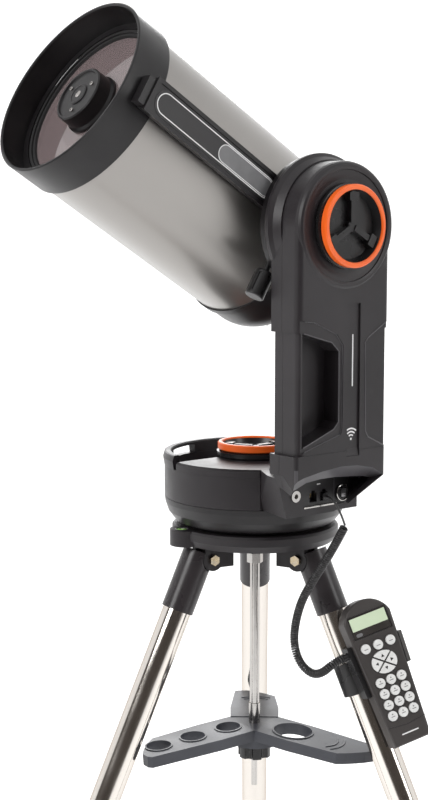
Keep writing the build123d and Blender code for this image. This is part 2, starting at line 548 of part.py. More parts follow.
def leg_parts(name, azimuth):
    frame = leg_frame(azimuth)
    sleeve = disc(SLEEVE_R, SLEEVE_TOP, SLEEVE_END) - disc(LEG_TUBE_R + 0.02, 20, SLEEVE_END + 1)
    sleeve = sleeve - disc(4, -20, -3)
    pocket = across(CHEEK_R + 2, CHEEK_IN - 0.4, 40, -PIVOT_TO_LEG, 0)
    pocket += across(CHEEK_R + 2, -40, -CHEEK_IN + 0.4, -PIVOT_TO_LEG, 0)
    tongue = across(12, -CHEEK_IN + 0.4, CHEEK_IN - 0.4, -PIVOT_TO_LEG, 0)
    tongue += block(-CHEEK_IN + 0.4, CHEEK_IN - 0.4, -PIVOT_TO_LEG, 0, SLEEVE_TOP, 12)
    sleeve = sleeve - pocket + tongue
    sleeve -= across(4.15, -30, 30, -PIVOT_TO_LEG, 0)
    save(f"leg_sleeve_{name}", frame * sleeve)
    save(f"leg_tube_{name}", frame * ring(LEG_TUBE_R, LEG_TUBE_R - 1.5, 20.1, COLLAR_END - 12))

    collar = disc(COLLAR_R, COLLAR_TOP, COLLAR_END)
    collar = chamfer(collar.edges(), 2)
    collar += Pos(0, 24, LOCK_T) * Rot(90, 0, 0) * Cylinder(12, 22)
    collar -= disc(LEG_TUBE_R + 0.02, COLLAR_TOP - 1, COLLAR_END - 11.9)
    collar -= disc(EXTENSION_R + GAP, COLLAR_TOP, COLLAR_END + 1)
    collar -= Pos(0, 30, LOCK_T + 8) * Rot(90, 0, 0) * Cylinder(5 + GAP, 40)
    save(f"leg_collar_{name}", frame * collar)
    return frame


def lock_knob():
    """Leg lock: a three-lobed grip on a short screw, along local Z."""
    grip = disc(14, 0, 16)
    for lobe in around(3, Pos(13, 0, 0) * disc(7, 1.5, 14.5)):
        grip += lobe
    return grip + disc(5, -13, 0.5)


def leg_moving_parts(name, frame):
    knob = Pos(0, COLLAR_R + 10.2, LOCK_T + 8) * Rot(-90, 0, 0) * lock_knob()
    save(f"leg_lock_{name}", frame * knob)
    b = radians(LEG_SPREAD)
    axis_z = PIVOT_Z + PIVOT_TO_LEG * sin(b)
    floor_t = axis_z / cos(b)
    end = floor_t - 24.0
    save(f"leg_extension_{name}", frame * (ring(EXTENSION_R, EXTENSION_R - 1.5, EXTENSION_TOP, end)))
    foot = disc(EXTENSION_R + 3.5, end - 26, end + 8) + Pos(0, 0, end + 8) * Cone(
        EXTENSION_R + 3.5, 12, 40, align=(Align.CENTER, Align.CENTER, Align.MIN))
    foot -= disc(EXTENSION_R + 0.02, end - 27, end + 0.1)
    foot = frame * foot
    save(f"leg_foot_{name}", foot & Pos(0, 0, 250) * Box(1400, 1400, 500))


TRAY_DROOP = 4.6           # the tray's arms fall this many degrees towards their tips
TRAY_HOLES = ((), ((41, 16.5), (95, 16.5), (146, 16.5)), ((60, 26.0),))


def tray_parts():
    """Accessory tray: three drooping arms round a hub that turns on the rod."""
    depth = 15.0
    plan = [(20, -33), (70, -34), (141, -29.5), (151.5, -20), (160.5, -10), (168.5, 0), (175.3, 11.5),
            (174.3, 24), (170, 29), (70, 34), (20, 33)]
    pocket_plan = [(41, -28), (70, -29.5), (132, -25), (156, -2), (160, 24), (70, 29.5), (41, 28)]
    tray = turned((0, TRAY_Z - 24.7), (38, TRAY_Z - 24.7), (38, TRAY_Z - 2.5), (35.5, TRAY_Z + 0.3),
                  (0, TRAY_Z + 0.3))
    pockets = []
    rims = []
    holes = []
    for azimuth, row in zip(LEG_AZIMUTH, TRAY_HOLES):
        place = Rot(0, 0, azimuth) * Pos(35, 0, TRAY_Z) * Rot(0, TRAY_DROOP, 0) * Pos(-35, 0, 0)
        tray += place * prism_z(plan, -depth, 0)
        pockets.append(place * prism_z(pocket_plan, -depth - 1, -3.5))
        for at, radius in row:
            rims.append(place * Pos(at, 0, 0) * disc(radius + 2.2, -depth + 0.4, 1.2))
            holes.append(place * Pos(at, 0, 0) * disc(radius, -40, 6))
    for pocket in pockets:
        tray -= pocket
    for rim in rims:
        tray += rim
    tray -= ring(33, 14, TRAY_Z - 26, TRAY_Z - 17)
    tray -= disc(15, TRAY_Z - 26, TRAY_Z - 20)
    for hole in holes:
        tray -= hole
    tray -= disc(ROD_R + GAP, TRAY_Z - 30, TRAY_Z + 4)
    save("accessory_tray", tray)

    knob = disc(22, TRAY_Z - 46, TRAY_Z - 30)
    for notch in around(6, Pos(24.5, 0, 0) * disc(6.5, TRAY_Z - 47, TRAY_Z - 29)):
        knob -= notch
    knob += disc(13.5, TRAY_Z - 30.5, TRAY_Z - 20.4)
    knob -= disc(ROD_R + GAP, TRAY_Z - 42.5, TRAY_Z - 20)
    knob -= disc(4.0 + 0.05, TRAY_Z - 47, TRAY_Z - 42)
    save("tray_knob", knob)


# ---------------------------------------------------------------------------
# Hand control on the right leg, with its holder and its cord
# ---------------------------------------------------------------------------
SET_NORMAL_AZ = -18.5      # direction the keypad faces, seen from above
SET_Z = MOUNT_Z - 193.3    # height of the leg's axis behind the hand control's middle
SET_BACK = 28.0            # its back stands this far from the leg's axis
SET_THICK = 24.0
SET_SIDE = 23.5            # it sits this far to the side of the leg
SET_TOP_HALF = 33.5        # half width at the shoulders, and at the foot
SET_LOW_HALF = 26.0


def handset_frame():
    """Local X points right across the keypad, local Y up along the leg, local Z out of the keypad."""
    a = radians(LEG_AZIMUTH[2])
    b = radians(LEG_SPREAD)
    down = Vector(sin(b) * cos(a), sin(b) * sin(a), -cos(b))
    n = radians(SET_NORMAL_AZ)
    normal = Vector(cos(n), sin(n), 0)
    normal = (normal - down * normal.dot(down)).normalized()
    right = (down * -1).cross(normal)
    r = PIVOT_R + PIVOT_TO_LEG * cos(b)
    t = (PIVOT_Z + PIVOT_TO_LEG * sin(b) - SET_Z) / cos(b)
    on_axis = Vector(r * cos(a), r * sin(a), PIVOT_Z + PIVOT_TO_LEG * sin(b)) + down * t
    return Plane(origin=on_axis, x_dir=right, z_dir=normal).location


PLUG_R = 4.4               # the cord's plug goes into the left side of the hand control
PLUG_LENGTH = 15.0
PLUG_X = SET_SIDE - 32.0 - PLUG_LENGTH / 2
PLUG_Y = 34.0
PLUG_Z = SET_BACK + 10.0
KEY_R = 6.3
KEY_RISE = 2.2


def key_places():
    """Centres of the fifteen round keys: one row of three, and four rows of three."""
    places = [(x, 35.5) for x in (-18, 0, 18)]
    for row in range(4):
        places += [(x, -11 - 14.6 * row) for x in (-15.3, 0, 15.3)]
    return places


def handset_outline(inset=0.0):
    w_top = SET_TOP_HALF - inset
    w_low = SET_LOW_HALF - inset
    top = 96 - inset
    low = -94 + inset
    path = Line((-w_low, low), (w_low, low)) + Line((w_low, low), (w_top, 72))
    path += ThreePointArc((w_top, 72), (0, top), (-w_top, 72)) + Line((-w_top, 72), (-w_low, low))
    return make_face(path)


def half_width(y):
    """Half width of the hand control at a height above its middle."""
    return SET_LOW_HALF + (SET_TOP_HALF - SET_LOW_HALF) * (y + 94) / (72 + 94)


def wing(side, y0, y1, thick):
    """Side wall of the holder, against the tapering side of the hand control."""
    inner = [(side * (half_width(y) + 0.4), y) for y in (y0, y1)]
    outer = [(side * (half_width(y) + 0.4 + thick), y) for y in (y1, y0)]
    return make_face(Polyline(*inner, *outer, close=True))


def arrow_keys(grow=0.0):
    """Four keys cut from one oval."""
    oval = Pos(0, 12.5) * Ellipse(17.5 + grow, 14.5 + grow)
    cross = Rectangle(50, 2.2 - 2 * grow)
    cut = Pos(0, 12.5) * Rot(0, 0, 38) * cross + Pos(0, 12.5) * Rot(0, 0, -38) * cross
    return oval - cut


def handset_parts():
    frame = handset_frame()
    back = SET_BACK
    front = SET_BACK + SET_THICK
    shell = extrude(Plane.XY.offset(back) * handset_outline(), SET_THICK)
    shell = fillet(shell.faces().sort_by(Axis.Z)[-1].edges(), 3)
    shell -= extrude(Plane.XY.offset(back + 3) * handset_outline(5), SET_THICK - 6.5)
    window = Pos(0, 65) * Rectangle(56, 30)
    shell -= extrude(Plane.XY.offset(front - 2.2) * window, 4)
    shell -= extrude(Plane.XY.offset(front - 5) * (Pos(0, 65) * Rectangle(50, 22)), 4)
    for x, y in key_places():
        shell -= Pos(x, y) * disc(KEY_R + 0.5, front - 5, front + 1)
    shell -= extrude(Plane.XY.offset(front - 5) * arrow_keys(0.5), 6)
    shell -= Pos(0, -96, back + 12) * Rot(90, 0, 0) * Cylinder(5, 20)
    save("handset_shell", frame * Pos(SET_SIDE, 0, 0) * shell)

    screen = extrude(Plane.XY.offset(front - 2.1) * (Pos(0, 65) * Rectangle(55.6, 29.6)), 1.2)
    save("handset_screen", frame * Pos(SET_SIDE, 0, 0) * screen)
    sheet = extrude(Plane.XY.offset(front - 8.2) * (Pos(0, -10) * Rectangle(44, 104)), 1.6)
    for x, y in key_places():
        sheet += Pos(x, y) * disc(KEY_R, front - 6.8, front + KEY_RISE)
    sheet += extrude(Plane.XY.offset(front - 6.8) * arrow_keys(), 6.8 + KEY_RISE - 0.4)
    save("handset_keypad", frame * Pos(SET_SIDE, 0, 0) * sheet)

    plate = block(-36, 33, -24, 44, back - 5.2, back - 0.3)
    plate += extrude(Plane.XY.offset(back - 5.2) * wing(-1, -24, 44, 6.5), 22)
    plate += extrude(Plane.XY.offset(back - 5.2) * wing(1, 1, 42, 5.0), 27)
    plate = Pos(SET_SIDE, 0, 0) * plate
    clamp = Rot(90, 0, 0) * Cylinder(25, 42) + block(-12, 12, -21, 21, 15, back - 5)
    clamp -= block(-12, 12, -30, 30, -30, -14)
    holder = plate + Pos(0, 4, 0) * clamp
    holder -= Pos(0, 4, 0) * Rot(90, 0, 0) * Cylinder(LEG_TUBE_R + 0.02, 120)
    holder -= Pos(PLUG_X, PLUG_Y, PLUG_Z) * Rot(0, 90, 0) * Cylinder(PLUG_R + 0.6, 30)
    save("handset_holder", frame * holder)

    boot = Cylinder(PLUG_R, PLUG_LENGTH) + Pos(0, 0, 5.5) * Cylinder(PLUG_R + 1.2, 1.5)
    save("handset_plug", frame * Pos(PLUG_X, PLUG_Y, PLUG_Z) * Rot(0, -90, 0) * boot)


# ---------------------------------------------------------------------------
# Cord: a straight lead out of the arm's socket, then the curly length
# ---------------------------------------------------------------------------
LEAD_R = 1.35
CURL_R = 5.75
LEAD_ROUTE = [
    (148.6, -21.0, 909.0), (158.0, -20.9, 909.0), (168.0, -20.7, 908.0), (173.5, -16.5, 900.5),
    (175.5, -11.8, 891.0), (176.8, -7.5, 881.5), (177.2, -3.7, 872.0),
]
CURL_ROUTE = [
    (174.0, -2.2, 868.0), (160.0, -4.5, 843.5), (145.7, -8.0, 820.2), (126.7, -12.6, 791.3),
    (110.2, -16.3, 762.5), (100.4, -17.6, 730.2), (99.2, -18.1, 703.4), (107.7, -15.1, 680.5),
    (124.4, -9.2, 668.5), (141.0, -6.0, 673.5), (154.5, -1.0, 688.0), (159.1, 11.6, 693.3),
]


def cord_tube(name, route, radius):
    """Tube along straight runs joined by arcs as large as the runs allow."""
    points = [Vector(*point) for point in route]
    runs = [b - a for a, b in zip(points, points[1:])]
    radii = []
    for before, after in zip(runs, runs[1:]):
        half = radians(before.get_angle(after)) / 2
        radii.append(0.45 * min(before.length, after.length) / tan(half))
    path = FilletPolyline(*points, radius=radii)
    section = Plane(origin=points[0], z_dir=runs[0]) * Circle(radius)
    tube = sweep(section, path=path)
    plain = pi * radius ** 2 * path.length
    print(name, "radii", [round(r, 1) for r in radii])
    print(name, "length", round(path.length, 1), "volume", round(tube.volume), "of", round(plain))
    save(name, tube)


def cord_parts():
    cord_tube("handset_lead", LEAD_ROUTE, LEAD_R)
    cord_tube("handset_cord", CURL_ROUTE, CURL_R)


def main():
    tube_parts()
    rail_parts()
    saddle_parts()
    base_parts()
    drum_parts()
    arm_parts()
    port_parts()
    clutch_knob("azimuth", Pos(0, 0, DECK_TOP + 0.3), 90)
    clutch_knob("altitude", Pos(ARM_OUT - 2.7, AXIS_Y, AXIS_Z) * Rot(0, 90, 0), 180)
    arm_internals()
    head_parts()
    for name, azimuth in zip(LEG_NAMES, LEG_AZIMUTH):
        leg_moving_parts(name, leg_parts(name, azimuth))
    tray_parts()
    handset_parts()
    cord_parts()
    for name, shape in OUT.items():
        print(f"{name:24s} {shape.volume / 1000:9.1f} cm3")


main()
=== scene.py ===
from math import cos, pi, radians, sin
import bmesh
import bpy
from mathutils import Matrix, Vector


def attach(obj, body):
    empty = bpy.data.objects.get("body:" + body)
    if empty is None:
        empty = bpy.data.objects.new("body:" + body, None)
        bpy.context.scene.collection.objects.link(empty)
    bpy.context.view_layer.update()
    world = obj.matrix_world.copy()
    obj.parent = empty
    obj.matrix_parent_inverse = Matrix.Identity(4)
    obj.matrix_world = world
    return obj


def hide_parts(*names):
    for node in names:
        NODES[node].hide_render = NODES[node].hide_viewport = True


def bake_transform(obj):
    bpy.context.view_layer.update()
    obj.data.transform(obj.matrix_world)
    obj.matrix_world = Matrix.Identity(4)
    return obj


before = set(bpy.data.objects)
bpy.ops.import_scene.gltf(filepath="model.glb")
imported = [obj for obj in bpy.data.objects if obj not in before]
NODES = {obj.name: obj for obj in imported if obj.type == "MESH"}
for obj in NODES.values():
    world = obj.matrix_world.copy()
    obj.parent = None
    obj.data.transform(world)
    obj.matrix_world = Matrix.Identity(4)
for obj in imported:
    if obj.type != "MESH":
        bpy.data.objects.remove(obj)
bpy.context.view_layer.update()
MM = 0.001

# ---------------------------------------------------------------------------
# Camera, floor and light
# ---------------------------------------------------------------------------
CAMERA_AT = Vector((1.5496, -1.3235, 1.2649))
CAMERA_LOOK = Vector((-0.7718, 0.6239, -0.1230))
CAMERA_LENS = 69.54
SENSOR = 36.0
STUDIO_R = 13.0
WALL_TOP = 9.0
WALL_BEND = 1.6
FLOOR_RINGS = (2.6, 6.0)
DARK_FROM = 2.2        # reflections see the cove turn from white to grey between these, towards the camera
DARK_TO = 3.6
COVE_WHITE = (0.86, 0.86, 0.86)
# painted shade: the warm grey, and its weaker glow, that reflections see on the cove behind the camera
COVE_REFLECTED_SHADE = (0.10, 0.085, 0.075)
COVE_GLOW = 0.42
REFLECTED_SHADE_GLOW = 0.02
SHARP = radians(38)    # edges sharper than this stay hard


def make_camera():
    data = bpy.data.cameras.new("camera")
    data.lens = CAMERA_LENS
    data.sensor_width = SENSOR
    data.sensor_fit = "AUTO"
    data.clip_end = 60
    camera = bpy.data.objects.new("camera", data)
    camera.location = CAMERA_AT
    camera.rotation_euler = CAMERA_LOOK.to_track_quat("-Z", "Y").to_euler()
    bpy.context.scene.collection.objects.link(camera)
    bpy.context.scene.camera = camera


def area_light(name, at, target, size, power, color=(1, 1, 1)):
    data = bpy.data.lights.new(name, "AREA")
    data.shape = "RECTANGLE"
    data.size, data.size_y = size
    data.energy = power
    data.color = color
    lamp = bpy.data.objects.new(name, data)
    lamp.location = at
    lamp.rotation_euler = (Vector(target) - Vector(at)).to_track_quat("-Z", "Y").to_euler()
    bpy.context.scene.collection.objects.link(lamp)


def cove_paint():
    """White paint. Painted shade in reflections: the camera sees it white all round, but other rays see it
    turn to warm grey, with less glow, on the side of the room behind the camera, as a dark sheet there
    would look in them."""
    paint = Surface("studio_white", COVE_WHITE, 0.9)
    paint.set(Specular_IOR_Level=0.1, Emission_Color=(1, 1, 1, 1))
    towards = paint.node("ShaderNodeVectorMath", operation="DOT_PRODUCT")
    towards.inputs[1].default_value = -CAMERA_LOOK.normalized()
    paint.link(paint.coords.outputs["Object"], towards.inputs[0])
    shade = paint.spread(towards.outputs["Value"], 0.0, 1.0, DARK_FROM, DARK_TO)
    mix = paint.node("ShaderNodeMix", data_type="RGBA")
    mix.inputs[6].default_value = (*COVE_WHITE, 1)
    mix.inputs[7].default_value = (*COVE_REFLECTED_SHADE, 1)
    # painted shade mask: the side behind the camera, for every ray but the camera's own
    path = paint.node("ShaderNodeLightPath")
    unseen = paint.node("ShaderNodeMath", operation="SUBTRACT")
    unseen.inputs[0].default_value = 1.0
    paint.link(path.outputs["Is Camera Ray"], unseen.inputs[1])
    reflected_shade = paint.node("ShaderNodeMath", operation="MULTIPLY")
    paint.link(shade, reflected_shade.inputs[0])
    paint.link(unseen.outputs["Value"], reflected_shade.inputs[1])
    paint.link(reflected_shade.outputs["Value"], mix.inputs[0])
    paint.link(mix.outputs[2], paint.bsdf.inputs["Base Color"])
    glow = paint.spread(reflected_shade.outputs["Value"], COVE_GLOW, REFLECTED_SHADE_GLOW, 0.0, 1.0)
    paint.link(glow, paint.bsdf.inputs["Emission Strength"])
    return paint


def make_studio():
    """White cove: a flat floor that curves up into a wall all round."""
    profile = [(r, 0.0) for r in FLOOR_RINGS]
    for i in range(1, 13):
        a = radians(90 * i / 12)
        profile.append((STUDIO_R - WALL_BEND + WALL_BEND * sin(a), WALL_BEND - WALL_BEND * cos(a)))
    profile.append((STUDIO_R, WALL_TOP))
    mesh = bpy.data.meshes.new("floor")
    steps = 72
    verts = [(r * cos(2 * pi * j / steps), r * sin(2 * pi * j / steps), z)
             for r, z in profile for j in range(steps)]
    verts.append((0, 0, 0))
    faces = [(len(verts) - 1, j, (j + 1) % steps) for j in range(steps)]
    for i in range(len(profile) - 1):
        for j in range(steps):
            k = (j + 1) % steps
            faces.append((i * steps + j, (i + 1) * steps + j, (i + 1) * steps + k, i * steps + k))
    mesh.from_pydata(verts, [], faces)
    mesh.polygons.foreach_set("use_smooth", [True] * len(mesh.polygons))
    floor = bpy.data.objects.new("floor", mesh)
    bpy.context.scene.collection.objects.link(floor)
    mesh.materials.append(cove_paint().material)

    world = bpy.data.worlds.new("studio")
    world.use_nodes = True
    world.node_tree.nodes["Background"].inputs["Color"].default_value = (1, 1, 1, 1)
    world.node_tree.nodes["Background"].inputs["Strength"].default_value = 0.9
    bpy.context.scene.world = world
    area_light("key", (0.2, -3.2, 2.6), (0, 0, 1.1), (1.6, 1.6), 75)
    area_light("side", (3.0, 1.2, 2.2), (0, 0, 1.0), (1.0, 2.0), 35)
    area_light("back", (-2.4, 1.6, 2.4), (0, 0, 1.1), (1.4, 1.8), 40)
    bpy.context.scene.view_settings.view_transform = "Standard"


# ---------------------------------------------------------------------------
# Materials
# ---------------------------------------------------------------------------
CASE_BLACK = (0.0128, 0.0106, 0.0122)
# grey of real trim, also used for painted highlights on the arm's port bevel and edge beads
GREY_TRIM_AND_HIGHLIGHT = (0.060, 0.057, 0.062)


class Surface:
    """A principled surface, with helpers that add grain, variation and bump in object space."""

    def __init__(self, name, color, rough, metallic=0.0):
        self.material = bpy.data.materials.new(name)
        self.material.use_nodes = True
        self.tree = self.material.node_tree
        self.bsdf = self.tree.nodes["Principled BSDF"]
        self.bsdf.inputs["Base Color"].default_value = (*color, 1)
        self.bsdf.inputs["Roughness"].default_value = rough
        self.bsdf.inputs["Metallic"].default_value = metallic
        self.color = color
        self.rough = rough
        self.coords = self.tree.nodes.new("ShaderNodeTexCoord")
        self.height = None

    def node(self, kind, **values):
        made = self.tree.nodes.new(kind)
        for key, value in values.items():
            if hasattr(made, key):
                setattr(made, key, value)
            else:
                made.inputs[key.replace("_", " ")].default_value = value
        return made

    def link(self, a, b):
        self.tree.links.new(a, b)

    def noise(self, scale, detail=3.0, stretch=(1, 1, 1)):
        mapping = self.node("ShaderNodeMapping")
        mapping.inputs["Scale"].default_value = stretch
        self.link(self.coords.outputs["Object"], mapping.inputs["Vector"])
        made = self.node("ShaderNodeTexNoise")
        made.inputs["Scale"].default_value = scale
        made.inputs["Detail"].default_value = detail
        self.link(mapping.outputs["Vector"], made.inputs["Vector"])
        return made.outputs["Fac"]

    def spread(self, fac, low, high, start=0.3, end=0.7):
        made = self.node("ShaderNodeMapRange")
        made.inputs["From Min"].default_value = start
        made.inputs["From Max"].default_value = end
        made.inputs["To Min"].default_value = low
        made.inputs["To Max"].default_value = high
        self.link(fac, made.inputs["Value"])
        return made.outputs["Result"]

    def vary_rough(self, scale, amount, stretch=(1, 1, 1)):
        fac = self.noise(scale, 4.0, stretch)
        out = self.spread(fac, max(0.02, self.rough - amount), min(1.0, self.rough + amount))
        self.link(out, self.bsdf.inputs["Roughness"])
        return self

    def vary_color(self, scale, other, stretch=(1, 1, 1)):
        fac = self.spread(self.noise(scale, 4.0, stretch), 0.0, 1.0)
        mix = self.node("ShaderNodeMix", data_type="RGBA")
        mix.inputs[6].default_value = (*self.color, 1)
        mix.inputs[7].default_value = (*other, 1)
        self.link(fac, mix.inputs[0])
        self.link(mix.outputs[2], self.bsdf.inputs["Base Color"])
        return self

    def bump(self, height, strength, distance):
        made = self.node("ShaderNodeBump")
        made.inputs["Strength"].default_value = strength
        made.inputs["Distance"].default_value = distance
        self.link(height, made.inputs["Height"])
        if self.height is not None:
            self.link(self.height.outputs["Normal"], made.inputs["Normal"])
        self.height = made
        self.link(made.outputs["Normal"], self.bsdf.inputs["Normal"])
        return self

    def grain(self, scale, strength, distance=0.0002, detail=2.0, stretch=(1, 1, 1)):
        return self.bump(self.noise(scale, detail, stretch), strength, distance)

    def set(self, **values):
        for key, value in values.items():
            self.bsdf.inputs[key.replace("_", " ")].default_value = value
        return self


def moulded(name, color, rough=0.5, texture=0.25):
    """Injection-moulded plastic: fine spark-eroded texture and faint wear."""
    s = Surface(name, color, rough)
    s.set(Specular_IOR_Level=0.36)
    s.vary_rough(14, 0.07)
    lighter = tuple(min(1, c * 1.35 + 0.004) for c in color)
    s.vary_color(9, lighter)
    s.grain(2600, texture, 0.00012)
    s.grain(60, 0.04, 0.0006)
    return s


def painted_bevel_highlight(s, rim):
    """Painted highlight: a lighter grey on the arm's outer shell where its faces lean outward, low down,
    on the bevel round the ports.
    """
    place, lean = s.node("ShaderNodeSeparateXYZ"), s.node("ShaderNodeSeparateXYZ")
    s.link(s.coords.outputs["Object"], place.inputs[0])
    s.link(s.coords.outputs["Normal"], lean.inputs[0])
    tests = [(place.outputs["Z"], "LESS_THAN", (MOUNT_Z + BEVEL_TOP) * MM),
             (place.outputs["X"], "GREATER_THAN", (ARM_OUT - BEVEL_DEPTH) * MM),
             (lean.outputs["X"], "GREATER_THAN", BEVEL_LEAN[0]),
             (lean.outputs["X"], "LESS_THAN", BEVEL_LEAN[1])]
    inside = None
    for value, operation, limit in tests:
        test = s.node("ShaderNodeMath", operation=operation)
        s.link(value, test.inputs[0])
        test.inputs[1].default_value = limit
        if inside is not None:
            both = s.node("ShaderNodeMath", operation="MULTIPLY")
            s.link(inside, both.inputs[0])
            s.link(test.outputs["Value"], both.inputs[1])
            test = both
        inside = test.outputs["Value"]
    # the painted highlight's grey (rim) goes where the mask is set
    plain = s.bsdf.inputs["Base Color"].links[0].from_socket
    mix = s.node("ShaderNodeMix", data_type="RGBA")
    s.link(inside, mix.inputs[0])
    s.link(plain, mix.inputs[6])
    mix.inputs[7].default_value = (*rim, 1)
    s.link(mix.outputs[2], s.bsdf.inputs["Base Color"])
    return s


def make_materials():
    m = {}
    m["black_plastic"] = moulded("black_plastic", CASE_BLACK, 0.42)
    # the arm's black plastic with a painted highlight on the bevel round the ports
    m["arm_plastic"] = painted_bevel_highlight(moulded("arm_plastic", CASE_BLACK, 0.42), GREY_TRIM_AND_HIGHLIGHT)
    m["black_plastic_fine"] = moulded("black_plastic_fine", (0.009, 0.0085, 0.009), 0.3, 0.12)
    # grey for real trim, and for the painted highlight beads along the arm's edges
    m["grey_rim_and_highlight"] = moulded("grey_rim_and_highlight", GREY_TRIM_AND_HIGHLIGHT, 0.4, 0.15)
    m["sleeve_plastic"] = moulded("sleeve_plastic", (0.020, 0.017, 0.0185), 0.3, 0.12)
    m["handset_plastic"] = moulded("handset_plastic", (0.030, 0.026, 0.025), 0.45, 0.3)
    m["wing_plastic"] = moulded("wing_plastic", (0.060, 0.056, 0.055), 0.4, 0.2)
    m["panel"] = moulded("panel", (0.012, 0.011, 0.012), 0.34, 0.1)
    paint = Surface("black_paint", (0.0060, 0.0048, 0.0056), 0.34)
    paint.set(Specular_IOR_Level=0.3)
    paint.vary_rough(20, 0.06).vary_color(12, (0.017, 0.016, 0.017)).grain(900, 0.2, 0.00025)
    m["black_paint"] = paint
    matt = Surface("matt_black", (0.010, 0.0095, 0.010), 0.75)
    matt.vary_rough(30, 0.08).vary_color(20, (0.016, 0.015, 0.016)).grain(1500, 0.2, 0.0002)
    m["matt_black"] = matt
    tube = Surface("tube_paint", (0.265, 0.252, 0.240), 0.3, 0.9)
    tube.vary_rough(3, 0.02).vary_color(2, (0.285, 0.272, 0.258))
    tube.set(Coat_Weight=0.25, Coat_Roughness=0.2)
    m["tube_paint"] = tube
    steel = Surface("polished_steel", (0.64, 0.605, 0.565), 0.13, 1.0)
    steel.vary_rough(40, 0.04, (1, 1, 0.05)).grain(500, 0.05, 0.0001, 2.0, (1, 1, 0.04))
    steel.set(Specular_Tint=(0.62, 0.58, 0.54, 1))
    m["polished_steel"] = steel
    plated = Surface("plated_steel", (0.46, 0.445, 0.43), 0.2, 1.0)
    plated.vary_rough(60, 0.05).grain(300, 0.03, 0.0001)
    plated.set(Specular_Tint=(0.7, 0.68, 0.66, 1))
    m["plated_steel"] = plated
    rocker = Surface("switch_metal", (0.16, 0.155, 0.16), 0.3, 0.7)
    rocker.vary_rough(120, 0.06).vary_color(90, (0.20, 0.195, 0.20)).grain(900, 0.08, 0.0001)
    m["switch_metal"] = rocker
    zinc = Surface("zinc_steel", (0.52, 0.42, 0.27), 0.26, 1.0)
    zinc.vary_rough(150, 0.08).vary_color(260, (0.46, 0.41, 0.33)).grain(900, 0.12, 0.0001)
    m["zinc_steel"] = zinc
    brass = Surface("brass", (0.72, 0.53, 0.25), 0.3, 1.0)
    brass.vary_rough(90, 0.08).grain(800, 0.1, 0.0001)
    m["brass"] = brass
    orange = Surface("orange_plastic", (0.80, 0.115, 0.012), 0.34)
    orange.vary_rough(50, 0.06).vary_color(30, (0.86, 0.14, 0.018)).grain(1800, 0.1, 0.0001)
    m["orange_plastic"] = orange
    rubber = Surface("rubber", (0.017, 0.017, 0.018), 0.72)
    rubber.vary_rough(60, 0.08).vary_color(25, (0.03, 0.03, 0.03)).grain(1400, 0.25, 0.0002)
    m["rubber"] = rubber
    cord = Surface("cord_jacket", (0.016, 0.015, 0.016), 0.38)
    cord.vary_rough(80, 0.07).vary_color(60, (0.026, 0.025, 0.026)).grain(1600, 0.15, 0.0001)
    m["cord"] = cord
    m["tray"] = moulded("tray_plastic", (0.036, 0.038, 0.046), 0.4, 0.3)
    keys = Surface("key_rubber", (0.68, 0.68, 0.67), 0.5)
    keys.vary_rough(200, 0.07).vary_color(150, (0.62, 0.62, 0.61)).grain(1500, 0.1, 0.0001)
    keys.set(Subsurface_Weight=0.1, Subsurface_Radius=(0.002, 0.002, 0.002))
    m["keys"] = keys
    bezel = Surface("screen_frame", (0.030, 0.027, 0.025), 0.18)
    bezel.vary_rough(60, 0.04).vary_color(40, (0.040, 0.036, 0.034)).grain(1500, 0.04, 0.0001)
    m["screen_frame"] = bezel
    lcd = Surface("lcd", (0.52, 0.62, 0.44), 0.2)
    lcd.vary_rough(50, 0.04).vary_color(16, (0.58, 0.68, 0.50)).grain(2500, 0.03, 0.0001)
    m["lcd"] = lcd
    glass = Surface("corrector_glass", (0.46, 0.365, 0.37), 0.04)
    glass.set(Transmission_Weight=0.66, IOR=1.52, Coat_Weight=0.3, Coat_Roughness=0.02)
    glass.vary_rough(8, 0.01)
    m["glass"] = glass
    mirror = Surface("mirror_coat", (0.62, 0.56, 0.565), 0.12, 1.0)
    mirror.vary_rough(10, 0.015)
    m["mirror"] = mirror
    white = Surface("white_print", (0.75, 0.75, 0.75), 0.4)
    white.vary_rough(90, 0.05).vary_color(60, (0.68, 0.68, 0.68))
    m["white"] = white
    grey = Surface("grey_print", (0.13, 0.13, 0.135), 0.35)
    grey.vary_rough(90, 0.05).vary_color(60, (0.16, 0.16, 0.165))
    m["grey_print"] = grey
    green = Surface("level_liquid", (0.25, 0.6, 0.08), 0.12)
    green.vary_color(90, (0.35, 0.72, 0.12)).set(Coat_Weight=0.8, Coat_Roughness=0.03)
    m["green"] = green
    return m


